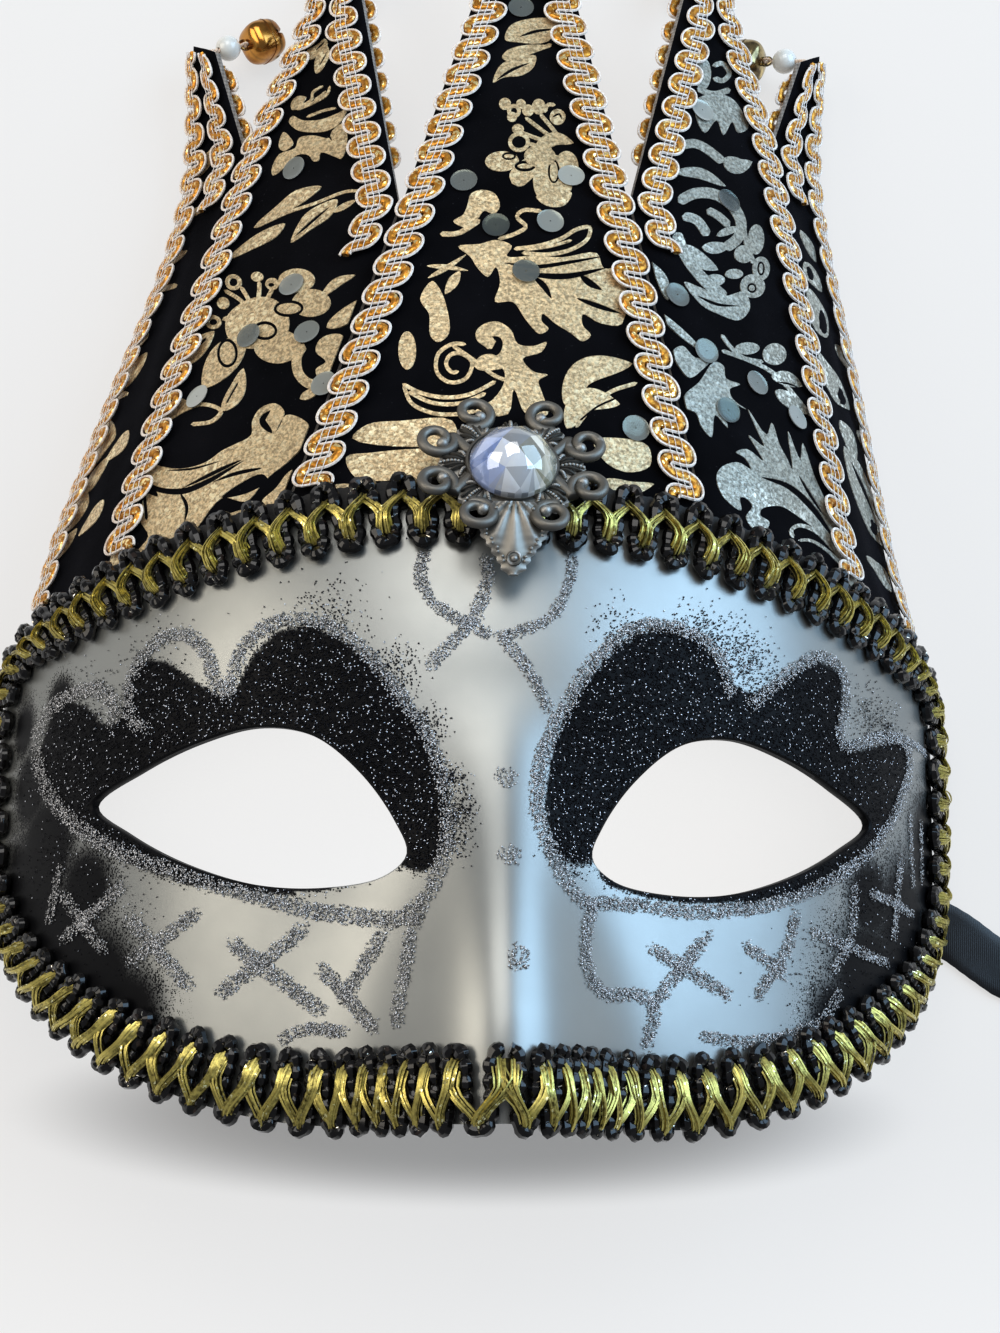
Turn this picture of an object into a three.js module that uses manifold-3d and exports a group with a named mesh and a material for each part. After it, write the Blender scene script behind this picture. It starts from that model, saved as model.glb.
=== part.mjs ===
// A jester half mask with a five-pointed crown, lying on its back. Millimetres, +Z up.
// X runs across the face, Y from the chin side to the crown's tips, and Z out of the table through the face.
// The moulded face rests on its two side edges, and the crown leans back until its bells touch the table.
import * as THREE from "three";
import { mergeVertices } from "three/addons/utils/BufferGeometryUtils.js";
import { ConvexGeometry } from "three/addons/geometries/ConvexGeometry.js";
import Module from "manifold-3d";

const wasm = await Module();
wasm.setup();

// Moulded face
const faceHalfWidth = 79.5;
const faceTop = 48.5; // top edge at the middle, above the eye line
const faceBottom = 44.9; // bottom edge below the eye line
const faceDepth = 62; // brow above the table
const faceEdgeHeight = 2.4; // side edge above the table
const faceSideTuck = 4.5; // how far the curve would widen past the side edge
const faceWall = 1.8;
const foreheadFall = 5.9; // how far the forehead leans back at the top edge
const browHeight = 10; // where the forehead starts to lean back
const noseRise = 17;
const noseBridge = 20; // above the eye line, where the nose starts
const noseTip = 38; // below the eye line, where it is highest
const noseHalfWidthTop = 8;
const noseHalfWidthTip = 15.5;
const eyeCentre = 37;
const eyeLength = 47.2;
const eyeHeight = 23.5;

// Gimp trim of beads round the face
const trimWidth = 10.7; // over the forehead, where it covers the crown's lower edge
const trimExtraWidth = 2.2; // more of it at the sides and below
const trimThickness = 2.7;
const trimOverhang = 2; // beyond the face's edge, at the sides and below
const trimPitch = 6.1;
const trimScallop = 0.9;

// Crown of five fabric-covered points
const crownRise = 118.5; // from the top edge of the face to the middle tip
const crownLean = 0.055; // sideways per unit of rise
const crownSlant = 0.06; // upwards per unit across
const crownAxisDepth = 2; // below the table, where the crown's normals meet
const crownBackTilt = 0.3; // share by which its normals look towards the tips
const panelWall = 2;
const tipWidth = 7.8;
const innerTipTurn = 0.14; // how far the tips' ends turn towards the middle, in radians
const outerTipTurn = 0.5;
const innerTipTilt = 0.55; // how steeply the tips' ends stand, in radians
const outerTipTilt = 0.85;
const leftTipShift = { across: -2, rise: 2.6 }; // the left outer tip stands a little further out and up
const braidWidth = 7.3;
const braidThickness = 1.8;
const braidPitch = 5.6;
const braidScallop = 0.7;
const braidTail = 11; // how far a braid beside a seam runs on below its valley
const backBraidThickness = 1.2;
const backBraidShows = 1; // beyond the point's free edge

// Bells, pearls and their threads
const bellDiameter = 7.4;
const bellWall = 0.6;
const bellSlot = 1;
const bellLoopRadius = 0.8;
const bellLoopWire = 0.6;
const pearlDiameter = 4.4;
const threadDiameter = 0.9;

// Brooch and its stone
const broochTilt = 0.52; // leans back onto the crown, in radians
const broochShift = 1.1; // to the side of the middle
const broochDrop = -0.6; // from the trim's edge down to its middle
const broochPlate = 1.6;
const broochDisc = 17;
const scrollSide = { x: 11.2, y: 4.4 }; // centres of the scrolls at the sides
const scrollEnd = { x: 5.5, y: 10.3 }; // and of those above and below
const scrollRadius = 2.3;
const scrollWire = 1.9;
const leafLength = 8.2;
const leafWidth = 10;
const stoneDiameter = 12.8;
const stoneHeight = 6.6;
const stoneDrop = 1.2; // below the brooch's middle

// Satin ties
const ribbonWidth = 9;
const ribbonThickness = 0.8;

const gap = 0.35; // between pieces that touch
const trimSeat = 0.5; // between the face and its trim
const panelGap = 0.5; // between neighbouring points of the crown

const colours = {
  silver: { color: 0xb9bdb8, roughness: 0.34, metalness: 0.55 },
  velvet: { color: 0x0c0c10, roughness: 0.95, metalness: 0 },
  gimp: { color: 0xc48a2c, roughness: 0.5, metalness: 0.5 },
  beads: { color: 0x0b0908, roughness: 0.2, metalness: 0 },
  bell: { color: 0x9a6416, roughness: 0.2, metalness: 0.9 },
  pearl: { color: 0xe6e4dd, roughness: 0.3, metalness: 0 },
  pewter: { color: 0x77716a, roughness: 0.4, metalness: 0.85 },
  stone: { color: 0xd5dde0, roughness: 0.05, metalness: 0 },
  satin: { color: 0x0a0a0b, roughness: 0.35, metalness: 0 },
};

const group = new THREE.Group();

const vec = (x, y, z) => new THREE.Vector3(x, y, z);
const mix = THREE.MathUtils.lerp;

function add(name, geometry, finish) {
  const mesh = new THREE.Mesh(geometry, new THREE.MeshStandardMaterial(colours[finish]));
  mesh.name = name;
  group.add(mesh);
  return mesh;
}

// A closed geometry from loose triangles, turned so that its faces look out.
function closed(triangles) {
  const flat = triangles.flat().flatMap((p) => [p.x, p.y, p.z]);
  let geometry = new THREE.BufferGeometry();
  geometry.setAttribute("position", new THREE.Float32BufferAttribute(flat, 3));
  geometry = mergeVertices(geometry, 1e-3);
  const index = geometry.index.array;
  const at = (i) => vec().fromBufferAttribute(geometry.attributes.position, i);
  let volume = 0;
  for (let i = 0; i < index.length; i += 3) {
    volume += at(index[i]).dot(at(index[i + 1]).cross(at(index[i + 2])));
  }
  if (volume < 0) {
    for (let i = 0; i < index.length; i += 3) {
      [index[i + 1], index[i + 2]] = [index[i + 2], index[i + 1]];
    }
  }
  return geometry;
}

const quad = (a, b, c, d) => [
  [a, b, c],
  [a, c, d],
];

// The solid between two grids of points, given as rows, with walls all round.
function slab(top, under) {
  const faces = [];
  const rows = top.length - 1;
  const columns = top[0].length - 1;
  for (let i = 0; i < rows; i++) {
    for (let j = 0; j < columns; j++) {
      faces.push(...quad(top[i][j], top[i][j + 1], top[i + 1][j + 1], top[i + 1][j]));
      faces.push(...quad(under[i][j], under[i + 1][j], under[i + 1][j + 1], under[i][j + 1]));
    }
    faces.push(...quad(top[i][0], top[i + 1][0], under[i + 1][0], under[i][0]));
    faces.push(...quad(top[i + 1][columns], top[i][columns], under[i][columns], under[i + 1][columns]));
  }
  for (let j = 0; j < columns; j++) {
    faces.push(...quad(top[0][j + 1], top[0][j], under[0][j], under[0][j + 1]));
    faces.push(...quad(top[rows][j], top[rows][j + 1], under[rows][j + 1], under[rows][j]));
  }
  return closed(faces);
}

function solid(geometry, matrix = new THREE.Matrix4()) {
  const plain = geometry.index ? geometry.toNonIndexed() : geometry.clone();
  plain.deleteAttribute("normal");
  plain.deleteAttribute("uv");
  const merged = mergeVertices(plain.applyMatrix4(matrix), 1e-4);
  return new wasm.Manifold(
    new wasm.Mesh({
      numProp: 3,
      vertProperties: merged.attributes.position.array,
      triVerts: new Uint32Array(merged.index.array),
    }),
  );
}

function geometryOf(manifold) {
  const mesh = manifold.getMesh();
  const geometry = new THREE.BufferGeometry();
  geometry.setAttribute("position", new THREE.BufferAttribute(new Float32Array(mesh.vertProperties), 3));
  geometry.setIndex(new THREE.BufferAttribute(new Uint32Array(mesh.triVerts), 1));
  return geometry;
}

const placed = (x, y, z) => new THREE.Matrix4().makeTranslation(x, y, z);

// The face's outer surface: an elliptical arch, a nose and a forehead that leans back.
const archHalfWidth = faceHalfWidth + faceSideTuck;
const archDepth =
  (faceDepth - faceEdgeHeight) / (1 - Math.sqrt(1 - (faceHalfWidth / archHalfWidth) ** 2));

function faceHeight(x, y) {
  const across = Math.min(Math.abs(x) / archHalfWidth, 0.999);
  const arch = faceDepth - archDepth * (1 - Math.sqrt(1 - across * across));
  const down = THREE.MathUtils.smoothstep(noseBridge - y, 0, noseBridge + noseTip);
  const noseHalfWidth = mix(noseHalfWidthTop, noseHalfWidthTip, down);
  const nose = noseRise * down * Math.exp(-((x / noseHalfWidth) ** 2));
  const back = Math.max(0, (y - browHeight) / (faceTop - browHeight));
  return arch + nose - foreheadFall * back * back;
}

const onFace = (x, y) => vec(x, y, faceHeight(x, y));

function faceNormal(x, y) {
  const step = 0.05;
  const inward = x > 0 ? -step : step;
  const alongX = onFace(x + inward, y).sub(onFace(x, y)).divideScalar(inward);
  const alongY = onFace(x, y + step).sub(onFace(x, y - step));
  return alongX.cross(alongY).normalize();
}

// The half outline, from the top of the midline round the side to the bottom of it.
const outlineShares = [
  { across: 0, up: 1 },
  { across: 0.25, up: 0.982 },
  { across: 0.56, up: 0.88 },
  { across: 0.82, up: 0.735 },
  { across: 0.94, up: 0.62 },
  { across: 0.992, up: 0.46 },
  { across: 1, up: 0.1 },
  { across: 0.984, up: -0.24 },
  { across: 0.898, up: -0.54 },
  { across: 0.755, up: -0.765 },
  { across: 0.57, up: -0.92 },
  { across: 0.35, up: -1 },
  { across: 0.15, up: -0.985 },
  { across: 0, up: -0.975 },
];
const outlinePoint = ({ across, up }) => vec(across * faceHalfWidth, up * (up > 0 ? faceTop : faceBottom), 0);
const outline = new THREE.CatmullRomCurve3(outlineShares.map(outlinePoint), false, "centripetal");
outline.arcLengthDivisions = 800;

// The height of the outline's top stretch at a place across the face.
const topStretch = outline.getPoints(400).filter((p) => p.y > 0.46 * faceTop);
function topEdge(x) {
  const reach = Math.abs(x);
  const after = topStretch.findIndex((p) => p.x >= reach);
  if (after <= 0) return after < 0 ? topStretch.at(-1).y : faceTop;
  const [a, b] = [topStretch[after - 1], topStretch[after]];
  return mix(a.y, b.y, (reach - a.x) / (b.x - a.x));
}

// The eye opening, as shares of its half length outwards and of its half height.
const eyeShares = [
  { out: 1, up: 0.14 },
  { out: 0.68, up: 0.53 },
  { out: 0.3, up: 0.84 },
  { out: -0.08, up: 1 },
  { out: -0.42, up: 0.87 },
  { out: -0.72, up: 0.39 },
  { out: -0.93, up: -0.2 },
  { out: -1, up: -0.6 },
  { out: -0.87, up: -0.86 },
  { out: -0.51, up: -1 },
  { out: -0.08, up: -0.95 },
  { out: 0.38, up: -0.66 },
  { out: 0.76, up: -0.25 },
];
const eyePoint = ({ out, up }) => vec(eyeCentre + (out * eyeLength) / 2, (up * eyeHeight) / 2, 0);
const eye = new THREE.CatmullRomCurve3(eyeShares.map(eyePoint), true, "centripetal");
const eyePath = eye.getPoints(260);

// Where a ray from the eye's centre towards a point leaves the eye opening.
function eyeRim(towards) {
  const direction = towards.clone().sub(vec(eyeCentre, 0, 0));
  const angle = Math.atan2(direction.y, direction.x);
  let best = eyePath[0];
  let least = Infinity;
  for (const p of eyePath) {
    const off = Math.abs(Math.atan2(p.y, p.x - eyeCentre) - angle);
    const turned = Math.min(off, 2 * Math.PI - off);
    if (turned < least) [best, least] = [p, turned];
  }
  return best;
}

function faceShell() {
  const aroundOutline = 36;
  const alongMidline = 14;
  const rings = [0, 0.12, 0.28, 0.46, 0.64, 0.82, 1];
  const rim = outline.getSpacedPoints(aroundOutline);
  for (let i = 1; i < alongMidline; i++) {
    const [low, high] = [outlinePoint(outlineShares.at(-1)), outlinePoint(outlineShares[0])];
    rim.push(low.lerp(high, i / alongMidline));
  }
  const faces = [];
  const inner = (p, side) => {
    const normal = faceNormal(p.x * side, p.y);
    if (p.x < 1e-6) normal.setX(0).normalize();
    return onFace(p.x * side, p.y).addScaledVector(normal, -faceWall);
  };
  const outer = (p, side) => onFace(p.x * side, p.y);
  const flat = rim.map((edge) => rings.map((share) => eyeRim(edge).clone().lerp(edge, share)));
  for (const side of [1, -1]) {
    const tops = flat.map((line) => line.map((p) => outer(p, side)));
    const unders = flat.map((line) => line.map((p) => inner(p, side)));
    const turn = (face) => (side > 0 ? face : [face[0], face[2], face[1]]);
    for (let i = 0; i < rim.length; i++) {
      const next = (i + 1) % rim.length;
      for (let j = 0; j < rings.length - 1; j++) {
        const top = quad(tops[i][j], tops[i][j + 1], tops[next][j + 1], tops[next][j]);
        const under = quad(unders[i][j], unders[next][j], unders[next][j + 1], unders[i][j + 1]);
        faces.push(...top.map(turn), ...under.map(turn));
      }
      const hole = quad(tops[next][0], unders[next][0], unders[i][0], tops[i][0]);
      faces.push(...hole.map(turn));
      if (i < aroundOutline) {
        const last = rings.length - 1;
        const wall = quad(tops[i][last], unders[i][last], unders[next][last], tops[next][last]);
        faces.push(...wall.map(turn));
      }
    }
  }
  return closed(faces.filter(([a, b, c]) => a.distanceTo(b) * b.distanceTo(c) * c.distanceTo(a) > 1e-6));
}

// The trim follows the outline from one side of the nose round to the other.
function edgeTrim() {
  const lobes = Math.round((2 * outline.getLength() * 1.22) / trimPitch);
  const stations = 2 * lobes;
  const columns = [0, 0.5, 1];
  const edgeAt = (share) => {
    const half = Math.abs(1 - 2 * share); // 1 at the nose, 0 at the top
    const p = outline.getPointAt(half);
    return share < 0.5 ? vec(-p.x, p.y, 0) : p;
  };
  const top = [];
  const under = [];
  for (let i = 0; i <= stations; i++) {
    const ends = gap / (2 * outline.getLength());
    const share = mix(ends, 1 - ends, i / stations);
    const edge = edgeAt(share);
    const ahead = edgeAt(Math.min(share + 0.004, 0.9999)).sub(edgeAt(Math.max(share - 0.004, 0.0001)));
    const bump = i % 2 ? 0 : trimScallop;
    const free = THREE.MathUtils.smoothstep(-edge.y, -0.5 * faceTop, -0.2 * faceTop);
    const rows = { top: [], under: [] };
    for (const column of columns) {
      let p = onFace(edge.x, edge.y);
      const width = trimWidth + free * trimExtraWidth;
      const reach = mix(bump, width - bump, column) - free * trimOverhang;
      const steps = 5;
      let normal;
      let inward;
      for (let s = 0; s < steps; s++) {
        normal = faceNormal(p.x, p.y);
        const tangent = vec(ahead.x, ahead.y, 0).projectOnPlane(normal).normalize();
        inward = tangent.cross(normal).normalize();
        p.addScaledVector(inward, reach / steps);
        if (reach > 0) p = onFace(p.x, p.y);
      }
      for (const [row, offset] of [["top", trimSeat + trimThickness], ["under", trimSeat]]) {
        const q = p.clone().addScaledVector(normal, offset);
        if (q.z < 0) q.addScaledVector(inward, -q.z / inward.z);
        rows[row].push(q);
      }
    }
    top.push(rows.top);
    under.push(rows.under);
  }
  return slab(top, under);
}

// Crown: places as shares of the half width across, of the rise and of the face's depth.
const crownPlaces = {
  innerValley: { across: 0.237, rise: 0.443, depth: 0.613 },
  outerSeamMiddle: { across: 0.687, rise: 0.232, depth: 0.37 },
  outerValley: { across: 0.579, rise: 0.595, depth: 0.242 },
  outerEdgeLow: { across: 0.823, rise: 0.22, depth: 0.1 },
  outerEdgeHigh: { across: 0.714, rise: 0.55, depth: 0.07 },
  middleTip: { across: 0, rise: 1, depth: 0.25 },
  innerTip: { across: 0.41, rise: 0.865, depth: 0.25 },
  outerTip: { across: 0.675, rise: 0.768, depth: 0.13 },
};
const seamFoot = { inner: 0.405, outer: 0.766, edge: 0.93 };

// The crown leans to one side, and that side stands a little higher.
function leaning(p) {
  const rise = Math.max(0, p.y - faceTop);
  const slant = crownSlant * Math.min(1, (2.5 * rise) / crownRise);
  return vec(p.x + crownLean * rise, p.y + slant * p.x, p.z);
}
const crownPoint = (name, side) => {
  const { across, rise, depth } = crownPlaces[name];
  return vec(side * across * faceHalfWidth, faceTop + rise * crownRise, depth * faceDepth);
};
const crownFoot = (across) => {
  const x = across * faceHalfWidth;
  const inside = Math.abs(x) * (1 - panelWall / Math.hypot(x, faceHeight(x, topEdge(x))));
  return onFace(x, topEdge(inside) + 1.6 * gap);
};
const crownNormal = (p) => {
  const x = p.x - crownLean * Math.max(0, p.y - faceTop);
  const z = p.z + crownAxisDepth;
  return vec(x, crownBackTilt * Math.hypot(x, z), z).normalize();
};

// One edge of a point: a seam that it shares with its neighbour, then a free run to the tip.
function crownEdge(seamPoints, freePoints) {
  const path = new THREE.CurvePath();
  if (seamPoints.length > 1) path.add(new THREE.CatmullRomCurve3(seamPoints, false, "centripetal"));
  path.add(new THREE.CatmullRomCurve3([seamPoints.at(-1), ...freePoints], false, "centripetal"));
  return path;
}

// One point of the crown: from foot share a to foot share b, up through its valleys to its tip.
function crownPanel(footA, footB, seamA, seamB, freeA, freeB, tip, turn, tilt) {
  const across = vec(Math.cos(turn) * Math.cos(tilt), Math.sin(turn), Math.sin(tilt)).setLength(tipWidth / 2);
  const edgeA = crownEdge([crownFoot(footA), ...seamA], [...freeA, tip.clone().sub(across)]);
  const edgeB = crownEdge([crownFoot(footB), ...seamB], [...freeB, tip.clone().add(across)]);
  const valley = (edge) => (edge.curves.length > 1 ? edge.curves[0].getLength() / edge.getLength() : 0);
  const footWidth = edgeA.getPoint(0).distanceTo(edgeB.getPoint(0));
  const at = (u, v) => {
    const [a, b] = [edgeA.getPointAt(v), edgeB.getPointAt(v)];
    const bow = crownFoot(mix(footA, footB, u)).sub(edgeA.getPoint(0).lerp(edgeB.getPoint(0), u));
    const narrowing = (a.distanceTo(b) / footWidth) ** 2;
    return leaning(a.lerp(b, u).addScaledVector(bow, narrowing));
  };
  return {
    at,
    lengthA: edgeA.getLength(),
    lengthB: edgeB.getLength(),
    valleyA: valley(edgeA),
    valleyB: valley(edgeB),
    width: (v) => edgeA.getPointAt(v).distanceTo(edgeB.getPointAt(v)),
  };
}

// A seam point that two panels share; each stops half a panel gap short of it.
const seam = (side) => ({
  innerValley: crownPoint("innerValley", side),
  outerMiddle: crownPoint("outerSeamMiddle", side),
  outerValley: crownPoint("outerValley", side),
  edgeLow: crownPoint("outerEdgeLow", side),
  edgeHigh: crownPoint("outerEdgeHigh", side),
});

function crownPanels() {
  const [left, right] = [seam(-1), seam(1)];
  const between = (a, b) => a.clone().lerp(b, 0.5);
  const innerSeam = (side, { innerValley }) => [
    between(crownFoot(side * seamFoot.inner), innerValley),
    innerValley,
  ];
  const outerSeam = ({ outerMiddle, outerValley }) => [outerMiddle, outerValley];
  const freeEdge = ({ edgeLow, edgeHigh }) => [edgeLow, edgeHigh];
  const { inner, outer, edge } = seamFoot;
  const tip = crownPoint;
  return {
    outer_left: crownPanel(
      -edge, -outer, [], outerSeam(left), freeEdge(left), [],
      tip("outerTip", -1).add(vec(leftTipShift.across, leftTipShift.rise, 0)), -outerTipTurn, outerTipTilt),
    inner_left: crownPanel(
      -outer, -inner, outerSeam(left), innerSeam(-1, left), [], [],
      tip("innerTip", -1), -innerTipTurn, innerTipTilt),
    middle: crownPanel(
      -inner, inner, innerSeam(-1, left), innerSeam(1, right), [], [], tip("middleTip", 1), 0, 0),
    inner_right: crownPanel(
      inner, outer, innerSeam(1, right), outerSeam(right), [], [],
      tip("innerTip", 1), innerTipTurn, -innerTipTilt),
    outer_right: crownPanel(
      outer, edge, outerSeam(right), [], [], freeEdge(right),
      tip("outerTip", 1), outerTipTurn, -outerTipTilt),
  };
}

// A strip of a panel's surface between two distances from its edges, raised off it.
function panelStrip(panel, rows, columns, span, low, high) {
  const [top, under] = [[], []];
  rows.forEach((v, i) => {
    const [from, to] = span(v, i);
    const line = columns.map((c) => panel.at(mix(from, to, c), v));
    top.push(line.map((p) => p.clone().addScaledVector(crownNormal(p), high)));
    under.push(line.map((p) => p.clone().addScaledVector(crownNormal(p), low)));
  });
  return slab(top, under);
}

const steps = (count, from = 0, to = 1) =>
  Array.from({ length: count + 1 }, (_, i) => mix(from, to, i / count));

// A braid along edge a (end 0) or edge b (end 1) of a panel's front.
function braid(panel, end, from) {
  const length = end ? panel.lengthB : panel.lengthA;
  const start = from + (2 * gap) / length;
  const finish = 1 - gap / length;
  const waves = Math.max(2, Math.round(((finish - start) * length) / braidPitch));
  const rows = steps(2 * waves, start, finish);
  const span = (v, i) => {
    const width = panel.width(v);
    const edge = (panelGap / 2 + (i % 2 ? braidScallop : 0)) / width;
    const reach = Math.min(braidWidth - (i % 2 ? 0 : braidScallop), width / 2 - gap) / width;
    return end ? [1 - edge, 1 - reach] : [edge, reach];
  };
  return panelStrip(panel, rows, [0, 1], span, 1.3 * gap, 1.3 * gap + braidThickness);
}

// The braid that lines a free edge behind, from above the valley to the tip, and shows beyond it.
function backBraid(panel, end) {
  const length = end ? panel.lengthB : panel.lengthA;
  const valley = end ? panel.valleyB : panel.valleyA;
  const start = valley + (1 - valley) * 0.16;
  const finish = 1 - (4 * gap) / length;
  const waves = Math.round(((finish - start) * length) / braidPitch);
  const span = (v, i) => {
    const width = panel.width(v);
    const edge = (i % 2 ? backBraidShows / 3 : backBraidShows) / width;
    const reach = Math.min(braidWidth / 2, width / 2 - gap) / width;
    return end ? [1 + edge, 1 - reach] : [-edge, reach];
  };
  const under = -panelWall - 1.3 * gap;
  return panelStrip(panel, steps(2 * waves, start, finish), [0, 1], span, under - backBraidThickness, under);
}

const bore = (diameter) => diameter / 2 + gap / 2;

function pearl() {
  const sides = 10;
  const arc = 5;
  const radius = pearlDiameter / 2;
  const hole = bore(threadDiameter);
  const lift = Math.acos(hole / radius);
  const profile = steps(arc, -lift, lift).map(
    (angle) => new THREE.Vector2(radius * Math.cos(angle), radius * Math.sin(angle)),
  );
  profile.push(profile[0].clone());
  return new THREE.LatheGeometry(profile, sides);
}

// A jingle bell: a thin ball with a cross of slots below and a wire loop above, its axis along Y.
function bell() {
  const sides = 10;
  const rings = 5;
  const radius = bellDiameter / 2;
  const ball = (r) => solid(new THREE.SphereGeometry(r, sides, rings));
  const slot = (turn) =>
    solid(
      new THREE.BoxGeometry(1.5 * radius, 1.2 * radius, bellSlot),
      placed(0, -radius, 0).premultiply(new THREE.Matrix4().makeRotationY(turn)),
    );
  const loop = solid(
    new THREE.TorusGeometry(bellLoopRadius, bellLoopWire / 2, 4, 8),
    placed(0, radius + bellLoopRadius - bellLoopWire * 0.75, 0),
  );
  const shell = ball(radius).subtract(ball(radius - bellWall));
  return geometryOf(shell.subtract(slot(0)).subtract(slot(Math.PI / 2)).add(loop));
}

// Turns a piece whose axis is Y so that it looks along a direction, and places it.
function aim(mesh, direction, place) {
  mesh.quaternion.setFromUnitVectors(vec(0, 1, 0), direction.clone().normalize());
  mesh.position.copy(place);
}

// Each tip's bell hangs from a thread through its pearl, down towards the table.
function tipBell(name, panel, share, towards, steepest) {
  const radius = bellDiameter / 2;
  const end = panel.at(share, 1);
  const start = end.clone().addScaledVector(crownNormal(end), -panelWall / 2);
  const standOff = gap + panelWall / 2;
  const reach = standOff + pearlDiameter + gap + 2 * bellLoopRadius + radius;
  const level = vec(towards.x, towards.y, 0).normalize();
  const fall = THREE.MathUtils.clamp((start.z - radius) / reach, 0, steepest);
  const direction = level.multiplyScalar(Math.sqrt(1 - fall * fall)).setZ(-fall);
  const along = (distance) => start.clone().addScaledVector(direction, distance);
  const bead = add("pearl_" + name, pearl(), "pearl");
  aim(bead, direction, along(standOff + pearlDiameter / 2));
  const threadStart = 3 * gap;
  const threadEnd = standOff + pearlDiameter + gap / 2;
  const radiusOfThread = threadDiameter / 2;
  const thread = new THREE.CylinderGeometry(radiusOfThread, radiusOfThread, threadEnd - threadStart, 8);
  aim(add("thread_" + name, thread, "gimp"), direction, along((threadStart + threadEnd) / 2));
  const loopTop = radius + 2 * bellLoopRadius - bellLoopWire * 0.25;
  const ball = add("bell_" + name, bell(), "bell");
  aim(ball, direction.clone().negate(), along(threadEnd + gap + loopTop));
}

// A cast openwork brooch: pairs of scrolls round a disc and a leaf that bends down below,
// drawn with the disc flat and facing +Z.
function brooch() {
  const disc = new THREE.CylinderGeometry(broochDisc / 2, broochDisc / 2, broochPlate, 20);
  let metal = solid(disc, new THREE.Matrix4().makeRotationX(Math.PI / 2).setPosition(0, 0, broochPlate / 2));
  const ring = new THREE.TorusGeometry(scrollRadius, scrollWire / 2, 5, 10);
  for (const { x, y } of [scrollSide, scrollEnd]) {
    for (const [wayX, wayY] of [[1, 1], [1, -1], [-1, 1], [-1, -1]]) {
      metal = metal.add(solid(ring, placed(wayX * x, wayY * y, scrollWire / 2)));
      const arm = new THREE.BoxGeometry(Math.hypot(x, y) - scrollRadius, scrollWire, broochPlate);
      const turn = new THREE.Matrix4().makeRotationZ(Math.atan2(wayY * y, wayX * x));
      const reach = placed((Math.hypot(x, y) - scrollRadius) / 2, 0, broochPlate / 2).premultiply(turn);
      metal = metal.add(solid(arm, reach));
    }
  }
  const half = leafWidth / 2;
  const leaf = new THREE.Shape([
    new THREE.Vector2(-half, 1.2),
    new THREE.Vector2(-half * 0.86, -leafLength * 0.35),
    new THREE.Vector2(-half * 0.28, -leafLength * 0.92),
    new THREE.Vector2(0, -leafLength),
    new THREE.Vector2(half * 0.28, -leafLength * 0.92),
    new THREE.Vector2(half * 0.86, -leafLength * 0.35),
    new THREE.Vector2(half, 1.2),
  ]);
  const plate = new THREE.ExtrudeGeometry(leaf, { depth: broochPlate, bevelEnabled: false });
  const bend = new THREE.Matrix4().makeRotationX(broochTilt).setPosition(0, -scrollEnd.y, 0);
  metal = metal.add(solid(plate, bend));
  const neck = new THREE.BoxGeometry(leafWidth * 0.6, scrollEnd.y, broochPlate);
  return geometryOf(metal.add(solid(neck, placed(0, -scrollEnd.y / 2, broochPlate / 2))));
}

// A round stone with a chequered dome: rings of corners, each ring turned half a step.
function stone() {
  const radius = stoneDiameter / 2;
  const rings = [
    { share: 0.94, height: 0, corners: 16 },
    { share: 1, height: 0.24, corners: 16 },
    { share: 0.87, height: 0.6, corners: 12 },
    { share: 0.6, height: 0.86, corners: 8 },
    { share: 0.26, height: 1, corners: 4 },
  ];
  const corners = rings.flatMap(({ share, height, corners: count }, ring) =>
    Array.from({ length: count }, (_, i) => {
      const angle = ((i + (ring % 2) / 2) / count) * 2 * Math.PI;
      return vec(radius * share * Math.cos(angle), radius * share * Math.sin(angle), stoneHeight * height);
    }),
  );
  const hull = new ConvexGeometry(corners);
  hull.deleteAttribute("normal");
  return mergeVertices(hull, 1e-4);
}

// A tie's route on the right: glued inside the temple, out under the edge and along the table.
const ribbonRoute = [
  [70, -9, 17],
  [72.6, -9.3, 9],
  [75, -10, 3],
  [79, -11.2, 0.9],
  [84, -13.8, 0.7],
  [89, -17.3, 0.7],
  [93.5, -20, 0.7],
  [98, -20.5, 0.7],
  [101.5, -17.5, 0.7],
  [103.5, -12, 0.7],
  [104.5, -2, 0.7],
  [105, 12, 0.7],
  [104, 28, 0.7],
  [102, 44, 0.7],
  [101, 60, 0.7],
  [102, 76, 0.7],
  [104, 92, 0.7],
  [106, 107, 0.7],
].map(([x, y, z]) => vec(x, y, z));

function ribbon(side) {
  const route = ribbonRoute.map((p) => vec(side * p.x, p.y, Math.max(p.z, ribbonThickness / 2 + 0.1)));
  const curve = new THREE.CatmullRomCurve3(route, false, "centripetal");
  const count = 32;
  const [top, under] = [[], []];
  for (let i = 0; i <= count; i++) {
    const [p, tangent] = [curve.getPointAt(i / count), curve.getTangentAt(i / count)];
    const standing = THREE.MathUtils.smoothstep(i / count, 0.02, 0.1);
    const across = vec(0, 1, 0).lerp(vec(-tangent.y * side, tangent.x * side, 0), standing);
    across.projectOnPlane(tangent).normalize();
    const out = tangent.clone().cross(across).normalize();
    const edges = [-1, 1].map((way) => p.clone().addScaledVector(across, (way * ribbonWidth) / 2));
    top.push(edges.map((q) => q.clone().addScaledVector(out, ribbonThickness / 2)));
    under.push(edges.map((q) => q.clone().addScaledVector(out, -ribbonThickness / 2)));
  }
  return slab(top, under);
}

add("face_shell", faceShell(), "silver");
add("edge_trim", edgeTrim(), "beads");

const panels = crownPanels();
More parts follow.
